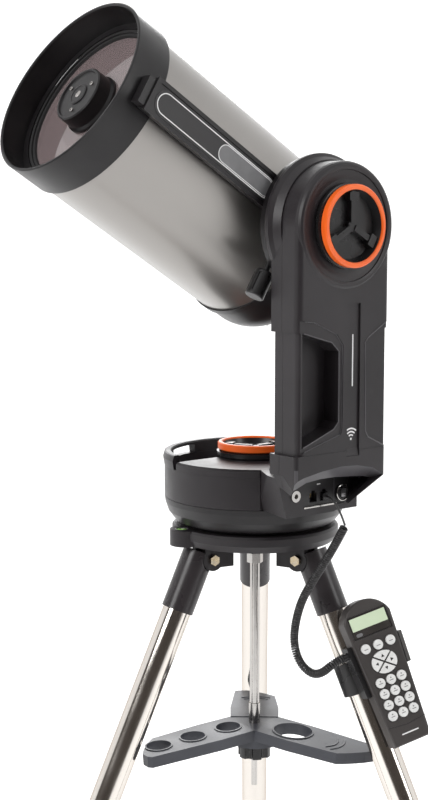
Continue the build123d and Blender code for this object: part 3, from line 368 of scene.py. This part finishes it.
LOOK = {
    "tube_paint": ["ota_tube"],
    "black_paint": ["front_cell", "secondary_housing", "rear_cell", "mount_base", "altitude_saddle",
                    "dovetail_rail", "visual_back"],
    "matt_black": ["corrector_ring", "baffle_tube"],
    "glass": ["corrector_plate"],
    "mirror": ["secondary_mirror", "primary_mirror"],
    "rubber": ["focus_knob", "leg_foot_rear", "leg_foot_left", "leg_foot_right"],
    "black_plastic": ["turntable_drum", "top_deck", "arm_inner_shell", "tripod_head", "leg_collar_rear",
                      "leg_collar_left", "leg_collar_right", "battery_pack"],
    "arm_plastic": ["arm_outer_shell"],
    "sleeve_plastic": ["leg_sleeve_rear", "leg_sleeve_left", "leg_sleeve_right"],
    "handset_plastic": ["handset_shell"],
    "black_plastic_fine": ["azimuth_clutch_knob", "altitude_clutch_knob", "saddle_knob",
                           "tray_knob", "handset_holder", "handset_plug", "leg_lock_rear", "leg_lock_left",
                           "leg_lock_right"],
    "panel": ["port_panel"],
    "orange_plastic": ["azimuth_grip_ring", "altitude_grip_ring"],
    "brass": ["altitude_worm_wheel", "azimuth_worm_wheel"],
    "zinc_steel": ["hinge_bolts"],
    "plated_steel": ["centre_rod", "altitude_motor", "power_jack"],
    "switch_metal": ["power_switch"],
    "polished_steel": ["leg_tube_rear", "leg_tube_left", "leg_tube_right", "leg_extension_rear",
                       "leg_extension_left", "leg_extension_right"],
    "tray": ["accessory_tray"],
    "screen_frame": ["handset_screen"],
    "keys": ["handset_keypad"],
    "cord": ["handset_lead", "handset_cord"],
}


def dress_frame(m):
    """Give every carried-over CAD node its finished material."""
    for look, names in LOOK.items():
        for name in names:
            for slot in NODES[name].material_slots:
                slot.material = m[look].material


# ---------------------------------------------------------------------------
# Mesh helpers
# ---------------------------------------------------------------------------
def add_piece(name, mesh, body, look):
    """Finish a mesh as a piece that rides on a body."""
    obj = bpy.data.objects.new(name, mesh)
    bpy.context.scene.collection.objects.link(obj)
    mesh.materials.append(LOOKS[look].material)
    if body:
        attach(obj, body)
    return obj


def mesh_of(name, verts, faces, place=None, smooth=True):
    mesh = bpy.data.meshes.new(name)
    mesh.from_pydata([tuple(v) for v in verts], [], faces)
    bm = bmesh.new()
    bm.from_mesh(mesh)
    bmesh.ops.remove_doubles(bm, verts=bm.verts, dist=1e-7)
    bmesh.ops.recalc_face_normals(bm, faces=bm.faces)
    bm.to_mesh(mesh)
    bm.free()
    if place is not None:
        mesh.transform(place)
    if smooth:
        mesh.polygons.foreach_set("use_smooth", [True] * len(mesh.polygons))
        mesh.set_sharp_from_angle(angle=SHARP)
    return mesh


def lathe(name, profile, place, body, look, steps=96):
    """Solid or ring of revolution about local Z, from a closed (radius, height) profile in mm."""
    verts = []
    faces = []
    n = len(profile)
    for j in range(steps):
        a = 2 * pi * j / steps
        verts += [(r * MM * cos(a), r * MM * sin(a), z * MM) for r, z in profile]
    for j in range(steps):
        k = (j + 1) % steps
        for i in range(n):
            ii = (i + 1) % n
            faces.append((j * n + i, j * n + ii, k * n + ii, k * n + i))
    return add_piece(name, mesh_of(name, verts, faces, place), body, look)


def rounded(points, radius, steps=4):
    """Round the corners of a closed polygon."""
    out = []
    n = len(points)
    for i in range(n):
        p, a, b = Vector(points[i]), Vector(points[i - 1]), Vector(points[(i + 1) % n])
        u, v = (a - p), (b - p)
        half = (pi - u.angle(v)) / 2
        back = min(radius * abs(sin(half) / max(cos(half), 1e-6)), 0.48 * u.length, 0.48 * v.length)
        start, end = p + u.normalized() * back, p + v.normalized() * back
        for j in range(steps + 1):
            t = j / steps
            out.append(start * (1 - t) ** 2 + p * 2 * t * (1 - t) + end * t ** 2)
    return out


def slab(name, outlines, z0, z1, place, body, look, bevel=0.0):
    """Flat plate in local XY, in mm: an outer outline, with any further outlines as holes."""
    bm = bmesh.new()
    edges = []
    for outline in outlines:
        loop = [bm.verts.new((p[0] * MM, p[1] * MM, z0 * MM)) for p in outline]
        edges += [bm.edges.new((loop[i - 1], loop[i])) for i in range(len(loop))]
    bmesh.ops.triangle_fill(bm, use_beauty=True, edges=edges)
    found = bmesh.ops.extrude_face_region(bm, geom=list(bm.faces))
    moved = [g for g in found["geom"] if isinstance(g, bmesh.types.BMVert)]
    bmesh.ops.translate(bm, verts=moved, vec=(0, 0, (z1 - z0) * MM))
    bmesh.ops.recalc_face_normals(bm, faces=bm.faces)
    if bevel:
        rim = [e for e in bm.edges if e.calc_face_angle(0) > 1.0]
        bmesh.ops.bevel(bm, geom=rim, offset=bevel * MM, segments=2, affect="EDGES", profile=0.7)
    mesh = bpy.data.meshes.new(name)
    bm.to_mesh(mesh)
    bm.free()
    mesh.transform(place)
    mesh.polygons.foreach_set("use_smooth", [True] * len(mesh.polygons))
    mesh.set_sharp_from_angle(angle=SHARP)
    return add_piece(name, mesh, body, look)


def tube_mesh(name, points, radius, sides=10):
    """Round tube along a list of points, with closed ends. The section doesn't twist."""
    verts = []
    faces = []
    side = None
    for i, p in enumerate(points):
        along = (points[min(i + 1, len(points) - 1)] - points[max(i - 1, 0)]).normalized()
        if side is None:
            side = along.orthogonal().normalized()
        side = (side - along * side.dot(along)).normalized()
        other = along.cross(side)
        for j in range(sides):
            a = 2 * pi * j / sides
            verts.append(p + (side * cos(a) + other * sin(a)) * radius)
    for i in range(len(points) - 1):
        for j in range(sides):
            k = (j + 1) % sides
            faces.append((i * sides + j, i * sides + k, (i + 1) * sides + k, (i + 1) * sides + j))
    faces.append(tuple(reversed(range(sides))))
    faces.append(tuple(range((len(points) - 1) * sides, len(points) * sides)))
    return mesh_of(name, verts, faces)


def spline_points(route, steps=16):
    """Points along the smooth NURBS line of a route, in metres."""
    data = bpy.data.curves.new("route", "CURVE")
    data.dimensions = "3D"
    spline = data.splines.new("NURBS")
    spline.points.add(len(route) - 1)
    for point, at in zip(spline.points, route):
        point.co = (*at, 1)
    spline.order_u = 3
    spline.use_endpoint_u = True
    data.resolution_u = steps
    obj = bpy.data.objects.new("route", data)
    bpy.context.scene.collection.objects.link(obj)
    bpy.context.view_layer.update()
    mesh = bpy.data.meshes.new_from_object(obj)
    points = [v.co.copy() for v in mesh.vertices]
    bpy.data.objects.remove(obj)
    return points


def circle(radius, steps=40, at=(0, 0), start=0.0, end=360.0):
    """Points of a circle, or of an arc from start to end in degrees."""
    count = steps if end - start >= 360 else steps + 1
    return [(at[0] + radius * cos(radians(start + (end - start) * i / steps)),
             at[1] + radius * sin(radians(start + (end - start) * i / steps))) for i in range(count)]


def pill(x0, x1, half, steps=12):
    """Outline of a bar with round ends, along local X."""
    right = [(x1 - half + half * cos(radians(a)), half * sin(radians(a)))
             for a in [-90 + 180 * i / steps for i in range(steps + 1)]]
    left = [(x0 + half - half * cos(radians(a)), -half * sin(radians(a)))
            for a in [-90 + 180 * i / steps for i in range(steps + 1)]]
    return right + left


def box_outline(x0, y0, x1, y1):
    return [(x0, y0), (x1, y0), (x1, y1), (x0, y1)]


def screw_head(radius, shoulder, rim, top, socket, floor, base=0.0):
    """Lathe profile of a screw's head with a round socket. Heights are above its base."""
    heights = [(radius, 0), (radius, shoulder), (rim, top), (socket, top), (socket - 0.1, floor),
               (0, floor), (0, 0)]
    return [(r, base + z) for r, z in heights]


# ---------------------------------------------------------------------------
# Places shared by the pieces, in mm, as the frame has them
# ---------------------------------------------------------------------------
MOUNT_Z = 850.0
BASE_R = 98.05
AXIS_Y = -24.0
AXIS_Z = MOUNT_Z + 394.0
ALTITUDE = radians(31.5)
RIM_S = 315.5
SECONDARY_FACE = RIM_S - 18.5
COLLIMATION_R = 22.5
RING_SCREW_R = 102.8
REAR_SCREW_R = 88.0
GLASS_FRONT = 273.0
REAR_S = -106.0
RAIL_FACE = 132.8
ARM_OUT = 197.0
LEG_NAMES = ("rear", "left", "right")
LEG_AZIMUTH = (139.5, -100.5, 19.5)
LEG_SPREAD = 23.9
PIVOT_R = 73.2
PIVOT_Z = MOUNT_Z - 42.7
PIVOT_TO_LEG = 14.1
TRAY_Z = MOUNT_Z - 280.0
TRAY_DROOP = 4.6
TRAY_HUB = 35.0
RIB_CENTRE = (102, -2)
SET_NORMAL_AZ = -18.5
SET_Z = MOUNT_Z - 193.3
SET_SIDE = 23.5
SET_FACE = 52.0
KEY_TOP = SET_FACE + 2.2
KEY_STEP = (15.3, 14.6)
STRIP_FLOOR = -2.5
STRIP_MIDDLE = 13.5
# where the painted highlight on the arm's port bevel goes: below this height, within this depth of the
# face, on faces leaning outward this much
BEVEL_TOP = 104.0
BEVEL_DEPTH = 12.0
BEVEL_LEAN = (0.25, 0.97)
ARM_IN = 153.0
ARM_SEAM = 167.0
PANEL_FACE = 156.5
GRIP_OPENING = [(-68, 129.8), (-18, 148.5), (-10, 157), (-10, 243), (-22, 254.5), (-68, 267.4)]
GRIP_FRAME = [(-66, 124.5), (-7, 141), (-4.5, 151), (-4.5, 251), (-15, 264.5), (-51, 280), (-66, 282)]
REAR_PANEL = [(66, 121.5), (39, 134.5), (34, 142), (32, 252), (37, 258), (66, 275)]


def axes(origin, x, y, z):
    """Placement whose local axes are the given unit vectors, with its origin in mm."""
    rows = Matrix((x, y, z)).transposed().to_4x4()
    return Matrix.Translation(Vector(origin) * MM) @ rows


TUBE = axes((0, AXIS_Y, AXIS_Z), (1, 0, 0), (0, sin(ALTITUDE), cos(ALTITUDE)),
            (0, -cos(ALTITUDE), sin(ALTITUDE)))
ARM_FACE = axes((ARM_OUT, AXIS_Y, 0), (0, 1, 0), (0, 0, 1), (1, 0, 0))
GROUND = Matrix.Identity(4)


def round_the_tube(angle, radius):
    """Placement at an angle in degrees and a radius in mm about the tube's axis."""
    return TUBE @ Matrix.Rotation(radians(angle), 4, "Z") @ Matrix.Translation((radius * MM, 0, 0))


def raised_disc(radius, low, high, edge=0.6, hole=0.0):
    """Lathe profile of a flat button with a softened rim."""
    inner = [(hole, high), (hole, low)]
    return [(radius, low), (radius, high - edge), (radius - edge * 0.3, high - edge * 0.3),
            (radius - edge, high)] + inner


def tube_details():
    """Label on the rail, two plain lines on the front ring, and the secondary's screws."""
    side = TUBE @ axes((0, 0, 0), (0, 0, 1), (0, -1, 0), (1, 0, 0))
    base = RAIL_FACE
    slab("rail_label", [pill(72, 279, 16)], base, base + 0.5, side, "optical_tube", "panel")
    slab("rail_label_line", [pill(75, 276, 13.2), pill(76.2, 274.8, 12.0)], base + 0.5, base + 0.75, side,
         "optical_tube", "white")
    slab("rail_label_band", [pill(77, 172, 11.3)], base + 0.5, base + 0.75, side, "optical_tube",
         "grey_print")
    slab("rail_label_ring", [pill(77, 172, 11.3), pill(78, 171, 10.3)], base + 0.75, base + 0.95, side,
         "optical_tube", "white")
    z = SECONDARY_FACE
    for i in range(3):
        lathe(f"collimation_screw_{i}", screw_head(2.6, 1.5, 2.2, 1.9, 1.3, 0.9, z),
              round_the_tube(37 + 120 * i, COLLIMATION_R), "optical_tube", "plated_steel", 24)
    badge = [(14, z), (14, z + 1.0), (13, z + 1.6), (11.5, z + 1.6), (11, z + 1.0), (0, z + 1.0), (0, z)]
    lathe("secondary_badge", badge, TUBE, "optical_tube", "black_paint")
    centre = [(4.6, z + 1.0), (4.6, z + 1.3), (4.2, z + 1.5), (0, z + 1.5), (0, z + 1.0)]
    lathe("secondary_centre", centre, TUBE, "optical_tube", "plated_steel", 32)
    z = GLASS_FRONT + 5.5
    for i, middle in enumerate((150, 268)):
        low, high = middle - 12, middle + 12
        line = circle(104.0, 24, start=low, end=high) + circle(103.2, 24, start=high, end=low)
        slab(f"ring_line_{i}", [line], z, z + 0.15, TUBE, "optical_tube", "white")
    for i in range(6):
        at = round_the_tube(60 * i + 14, RING_SCREW_R)
        lathe(f"ring_screw_{i}", raised_disc(1.5, z, z + 0.7, 0.25), at, "optical_tube", "plated_steel",
              20)


def arm_details():
    """Plain line, radio mark and end wedge of the arm's strip; thin grey beads with painted highlights
    along the grip's and rear panel's edges; and the shells' seam and screws.
    """
    floor = STRIP_FLOOR
    line = ARM_FACE @ axes((STRIP_MIDDLE, MOUNT_Z, 0), (0, 1, 0), (-1, 0, 0), (0, 0, 1))
    slab("strip_line", [pill(199, 263, 0.9)], floor, floor + 0.15, line, "turntable", "white")
    mark = ARM_FACE @ axes((12, MOUNT_Z + 134, 0), (1, 0, 0), (0, 1, 0), (0, 0, 1))
    slab("radio_dot", [circle(1.5, 24)], floor, floor + 0.15, mark, "turntable", "white")
    for i in range(3):
        radius = 5.0 + 4.0 * i
        arc = circle(radius + 0.9, 20, start=48, end=132) + circle(radius - 0.9, 20, start=132, end=48)
        slab(f"radio_arc_{i}", [arc], floor, floor + 0.15, mark, "turntable", "white")
    wedge = [(3.2, 113.2, floor), (23.8, 113.2, floor), (3.2, 123, floor), (23.8, 123, floor),
             (3.2, 113.2, -0.4), (23.8, 113.2, -0.4)]
    wedge = [((ARM_OUT + z) * MM, (AXIS_Y + y) * MM, (MOUNT_Z + h) * MM) for y, h, z in wedge]
    add_piece("strip_wedge", mesh_of("strip_wedge", wedge, [(0, 1, 3, 2), (4, 5, 3, 2), (0, 1, 5, 4),
                                                            (0, 2, 4), (1, 3, 5)], smooth=False),
              "turntable", "black_plastic")
    # painted highlights: thin grey beads along the grip's frame and opening and the rear panel's edge,
    # where catch-lights fall
    for name, outline, width in (("grip", GRIP_FRAME, 0.9), ("grip_edge", GRIP_OPENING, 0.7),
                                 ("rear_panel", REAR_PANEL, 0.8)):
        level = 0 if name == "rear_panel" else -1.8
        path = [Vector((ARM_OUT + level, AXIS_Y + y, MOUNT_Z + h)) * MM for y, h in outline]
        add_piece(f"{name}_painted_highlight", tube_mesh(f"{name}_painted_highlight", path, width * MM, 8), "turntable", "grey_rim_and_highlight")
    seam = [Vector((ARM_SEAM, AXIS_Y + 71.2, MOUNT_Z + h)) * MM for h in (95, 180, 266)]
    add_piece("shell_seam", tube_mesh("shell_seam", seam, 0.5 * MM, 8), "turntable", "panel")
    for y, h in ((60, 110), (60, 250), (-66, 104)):
        at = axes((ARM_IN - 0.2, AXIS_Y + y, MOUNT_Z + h), (0, 0, 1), (0, 1, 0), (-1, 0, 0))
        lathe(f"shell_screw_{y}_{h}", screw_head(3.2, 1.2, 2.8, 1.5, 1.4, 0.7), at, "turntable",
              "plated_steel", 24)


def port_details():
    """Lip, switch ring, contacts and the lead's plug on the panel of the ports."""
    panel = axes((PANEL_FACE, 0, MOUNT_Z), (0, 1, 0), (0, 0, 1), (1, 0, 0))
    slab("port_lip", [box_outline(-56, 46, -1, 48)], 0, 2.2, panel, "turntable", "plated_steel",
         0.4)
    lathe("switch_ring", [(10.7, 3.2), (10.7, 4.0), (9.9, 4.4), (9.2, 4.0), (9.2, 3.2)],
          panel @ Matrix.Translation((0.0085, 0.060, 0)), "turntable", "plated_steel", 48)
    slab("port_groove", [box_outline(-4.2, 50, -3.4, 79)], 0, 0.25, panel, "turntable", "grey_rim_and_highlight")
    slab("port_mark", [pill(-33, -27, 0.5)], 0, 0.15, panel @ Matrix.Translation((0, 0.0745, 0)),
         "turntable", "white")
    for side in (-39, -21):
        for i in range(6):
            x = side - 3.0 + 1.2 * i
            slab(f"contact_{abs(side)}_{i}", [box_outline(x - 0.25, 57.2, x + 0.25, 63)], -7.8, -7.4,
                 panel, "turntable", "brass")
    slab("lead_plug", [rounded(box_outline(-25.6, 54.2, -16.4, 62.2), 0.8)], -7, 4.0, panel, "turntable",
         "black_plastic_fine", 0.3)
    slab("lead_plug_latch", [box_outline(-23, 62.2, -19, 63.6)], -7, 5.5, panel, "turntable",
         "black_plastic_fine", 0.2)


def head_details():
    """Bubble level in the tripod head's ear."""
    a = radians(-101)
    ear = Matrix.Translation((0.110 * cos(a), 0.110 * sin(a), 0))
    top = MOUNT_Z - 1.1
    cup = [(9.1, top - 7.5), (9.1, top + 0.2), (8.2, top + 0.5), (7.6, top + 0.2), (7.6, top - 7.5)]
    lathe("level_cup", cup, ear, "tripod", "grey_rim_and_highlight", 48)
    lathe("level_vial", [(7.5, top - 7), (7.5, top - 0.6), (6.6, top - 0.1), (0, top + 0.2), (0, top - 7)],
          ear, "tripod", "green", 48)
    lathe("level_bubble", [(2.4, top), (2.4, top + 0.25), (1.9, top + 0.3), (0, top + 0.32), (0, top)],
          ear @ Matrix.Translation((0.0012, 0.0007, 0)), "tripod", "lcd", 24)


def leg_frame(azimuth):
    """Local Z runs down the leg's axis, and local Y points outward."""
    a, b = radians(azimuth), radians(LEG_SPREAD)
    reach = PIVOT_R + PIVOT_TO_LEG * cos(b)
    top = (reach * cos(a), reach * sin(a), PIVOT_Z + PIVOT_TO_LEG * sin(b))
    out = Vector((cos(a), sin(a), 0)) * cos(b) + Vector((0, 0, sin(b)))
    down = Vector((sin(b) * cos(a), sin(b) * sin(a), -cos(b)))
    return axes(top, out.cross(down), out, down)


def leg_details():
    """Grip rings round the rubber feet, and a screw on each collar."""
    for name, azimuth in zip(LEG_NAMES, LEG_AZIMUTH):
        leg = leg_frame(azimuth)
        local = [leg.inverted() @ v.co for v in NODES[f"leg_foot_{name}"].data.vertices]
        low, high = min(v.z for v in local) / MM, max(v.z for v in local) / MM
        radius = max((v.x ** 2 + v.y ** 2) ** 0.5 for v in local if v.z < (low + 12) * MM) / MM
        for i in range(3):
            z = low + (high - low) * (0.12 + 0.14 * i)
            ring = [(radius + 0.7, z), (radius + 0.7, z + 2.2), (radius - 1, z + 3.2), (radius - 1, z - 1)]
            lathe(f"foot_ring_{name}_{i}", ring, leg, f"extension_{name}", "rubber", 40)
        collar = [leg.inverted() @ v.co for v in NODES[f"leg_collar_{name}"].data.vertices]
        middle = (min(v.z for v in collar) + max(v.z for v in collar)) / 2
        side = leg @ Matrix.Translation((0.0258, 0, middle)) @ Matrix.Rotation(pi / 2, 4, "Y")
        lathe(f"collar_screw_{name}", screw_head(3, 0.9, 2.5, 1.3, 1.3, 0.6), side, f"leg_{name}",
              "plated_steel", 24)


def handset_frame():
    """Local X points right across the keypad, local Y up along the leg, local Z out of the keypad."""
    leg = leg_frame(LEG_AZIMUTH[2])
    top, down = leg.translation / MM, Vector(leg.col[2][:3])
    out = Vector((cos(radians(SET_NORMAL_AZ)), sin(radians(SET_NORMAL_AZ)), 0))
    out = (out - down * out.dot(down)).normalized()
    foot = top + down * ((top.z - SET_Z) / cos(radians(LEG_SPREAD)))
    return axes(foot, -down.cross(out), -down, out) @ Matrix.Translation((SET_SIDE * MM, 0, 0))


def handset_details():
    """Display, foot line and holder's wing of the hand control."""
    hand = handset_frame()
    face = SET_FACE
    body = "leg_right"
    slab("display", [box_outline(-25.5, 60.5, 25.5, 77)], face - 0.95, face - 0.6, hand, body, "lcd")
    slab("display_badge", [pill(-23, -14, 2.2)], face - 0.9, face - 0.75,
         hand @ Matrix.Translation((0, 0.0545, 0)), body, "grey_print")
    frame_line = box_outline(-27.6, 50.4, 27.6, 79.6)
    inner_line = [(x * 0.978, 65 + (y - 65) * 0.96) for x, y in frame_line]
    slab("display_line", [frame_line, inner_line], face - 0.9, face - 0.5, hand, body, "panel")
    cap = [(-27.2, -67.5), (0, -70.4), (27.2, -67.5), (27.2, -68.3), (0, -71.2), (-27.2, -68.3)]
    slab("foot_line", [cap], face - 0.1, face + 0.12, hand, body, "panel")
    slab("foot_mark", [pill(-12, 12, 0.8)], face - 0.1, face + 0.15,
         hand @ Matrix.Translation((0, -0.081, 0)), body, "white")
    key_details(hand)
    outer = [(half_width(y) + 5.5, y) for y in (1.2, 41.8)]
    inner = [(half_width(y) + 0.6, y) for y in (41.8, 1.2)]
    slab("holder_wing_cap", [outer + inner], 49.9, 50.3, hand, body, "wing_plastic")


def half_width(y):
    """Half the hand control's width at a height, as it narrows towards its foot."""
    return 26.0 + 7.5 * (y + 94) / 166


def key_details(hand):
    """Rims and plain marks on the round keys, and arrows on the direction keys."""
    places = [(x, 35.5) for x in (-18, 0, 18)]
    places += [(x, -11 - KEY_STEP[1] * row) for row in range(4) for x in (-KEY_STEP[0], 0, KEY_STEP[0])]
    for i, (x, y) in enumerate(places):
        at = hand @ Matrix.Translation((x * MM, y * MM, 0))
        rim = [(6.3, KEY_TOP - 0.1), (6.3, KEY_TOP + 0.12), (6.0, KEY_TOP + 0.22), (5.7, KEY_TOP + 0.1),
               (5.7, KEY_TOP - 0.1)]
        lathe(f"key_rim_{i}", rim, at, "keys", "keys", 28)
        slab(f"key_mark_{i}", [pill(-2.8, 2.8, 0.45)], KEY_TOP - 0.05, KEY_TOP + 0.12,
             at @ Matrix.Translation((0, -0.0008, 0)), "keys", "grey_print")
        if i > 2:
            slab(f"key_digit_{i}", [circle(0.9, 12)], KEY_TOP - 0.05, KEY_TOP + 0.12,
                 at @ Matrix.Translation((0, 0.0022, 0)), "keys", "grey_print")
    arrow = [(-2.2, -1.6), (2.2, -1.6), (0, 2.4)]
    for i, (x, y, turn) in enumerate(((0, 20.5, 0), (0, 4.5, 180), (-10.5, 12.5, 90), (10.5, 12.5, -90))):
        at = hand @ Matrix.Translation((x * MM, y * MM, 0)) @ Matrix.Rotation(radians(turn), 4, "Z")
        slab(f"arrow_{i}", [arrow], KEY_TOP - 0.5, KEY_TOP - 0.28, at, "keys", "panel")


def tray_details():
    """Curved ribs near the tips of the tray's arms."""
    for name, azimuth in (("rear", LEG_AZIMUTH[0]), ("right", LEG_AZIMUTH[2])):
        hub = TRAY_HUB * MM
        place = (Matrix.Rotation(radians(azimuth), 4, "Z") @ Matrix.Translation((hub, 0, TRAY_Z * MM))
                 @ Matrix.Rotation(radians(TRAY_DROOP), 4, "Y") @ Matrix.Translation((-hub, 0, 0)))
        for i, (radius, half) in enumerate(((24, 44), (33, 38))):
            rib = circle(radius + 0.9, 24, RIB_CENTRE, -half, half)
            rib += circle(radius - 0.9, 24, RIB_CENTRE, half, -half)
            slab(f"tray_rib_{name}_{i}", [rib], -0.1, 0.8, place, "tray", "tray", 0.25)


def base_details():
    """Lines round the base, and the screws on the back of the tube."""
    for i, height in enumerate((10, 30)):
        z = MOUNT_Z + height
        line = [(BASE_R + 0.25, z), (BASE_R + 0.25, z + 1), (BASE_R - 0.4, z + 1), (BASE_R - 0.4, z)]
        lathe(f"base_line_{i}", line, GROUND, "tripod", "grey_rim_and_highlight", 120)
    z = REAR_S - 0.4
    head = [(3.2, z + 1.5), (3.2, z - 0.4), (2.8, z - 0.8), (0, z - 0.8), (0, z + 1.5)]
    for i in range(3):
        lathe(f"rear_screw_{i}", head, round_the_tube(30 + 120 * i, REAR_SCREW_R), "optical_tube",
              "plated_steel", 24)


LEAD_ROUTE = [
    (0.1486, -0.0210, 0.9090), (0.1580, -0.0209, 0.9090), (0.1680, -0.0207, 0.9080),
    (0.1735, -0.0165, 0.9005), (0.1755, -0.0118, 0.8910), (0.1768, -0.0075, 0.8815),
    (0.1772, -0.0037, 0.8720),
]
CURL_ROUTE = [
    (0.1740, -0.0022, 0.8680), (0.1600, -0.0045, 0.8435), (0.1457, -0.0080, 0.8202),
    (0.1267, -0.0126, 0.7913), (0.1102, -0.0163, 0.7625), (0.1004, -0.0176, 0.7302),
    (0.0992, -0.0181, 0.7034), (0.1077, -0.0151, 0.6805), (0.1244, -0.0092, 0.6685),
    (0.1410, -0.0060, 0.6735), (0.1545, -0.0010, 0.6880), (0.1591, 0.0116, 0.6933),
]
WIRE_R = 0.00135
CURL_R = 0.00575
CURL_PITCH = 0.0030


def helix_about(line, radius, pitch, per_turn=22):
    """Wire points that wind round a line, one turn for each pitch of its length."""
    lengths = [0.0]
    for a, b in zip(line, line[1:]):
        lengths.append(lengths[-1] + (b - a).length)
    frames = []
    side = None
    for i in range(len(line)):
        along = (line[min(i + 1, len(line) - 1)] - line[max(i - 1, 0)]).normalized()
        side = along.orthogonal().normalized() if side is None else side
        side = (side - along * side.dot(along)).normalized()
        frames.append((side, along.cross(side)))
    total = lengths[-1]
    count = int(total / pitch * per_turn)
    points = []
    i = 0
    for k in range(count + 1):
        at = total * k / count
        while i < len(line) - 2 and lengths[i + 1] < at:
            i += 1
        t = (at - lengths[i]) / max(lengths[i + 1] - lengths[i], 1e-9)
        u = (frames[i][0] * (1 - t) + frames[i + 1][0] * t).normalized()
        v = (frames[i][1] * (1 - t) + frames[i + 1][1] * t).normalized()
        a = 2 * pi * at / pitch
        points.append(line[i].lerp(line[i + 1], t) + (u * cos(a) + v * sin(a)) * radius)
    return points


def cord_pieces():
    """The plain lead from the socket, and the coiled cord down to the plug in the holder."""
    lead = spline_points(LEAD_ROUTE)
    tube = add_piece("lead_wire", tube_mesh("lead_wire", lead, WIRE_R, 12), None, "cord")
    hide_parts("handset_lead")
    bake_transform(tube)

    line = spline_points(CURL_ROUTE, 24)
    wire = helix_about(line, CURL_R - WIRE_R, CURL_PITCH)
    coil = add_piece("curly_wire", tube_mesh("curly_wire", wire, WIRE_R, 8), None, "cord")
    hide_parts("handset_cord")
    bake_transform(coil)


make_camera()
make_studio()
LOOKS = make_materials()
dress_frame(LOOKS)
tube_details()
arm_details()
port_details()
head_details()
leg_details()
handset_details()
tray_details()
base_details()
cord_pieces()
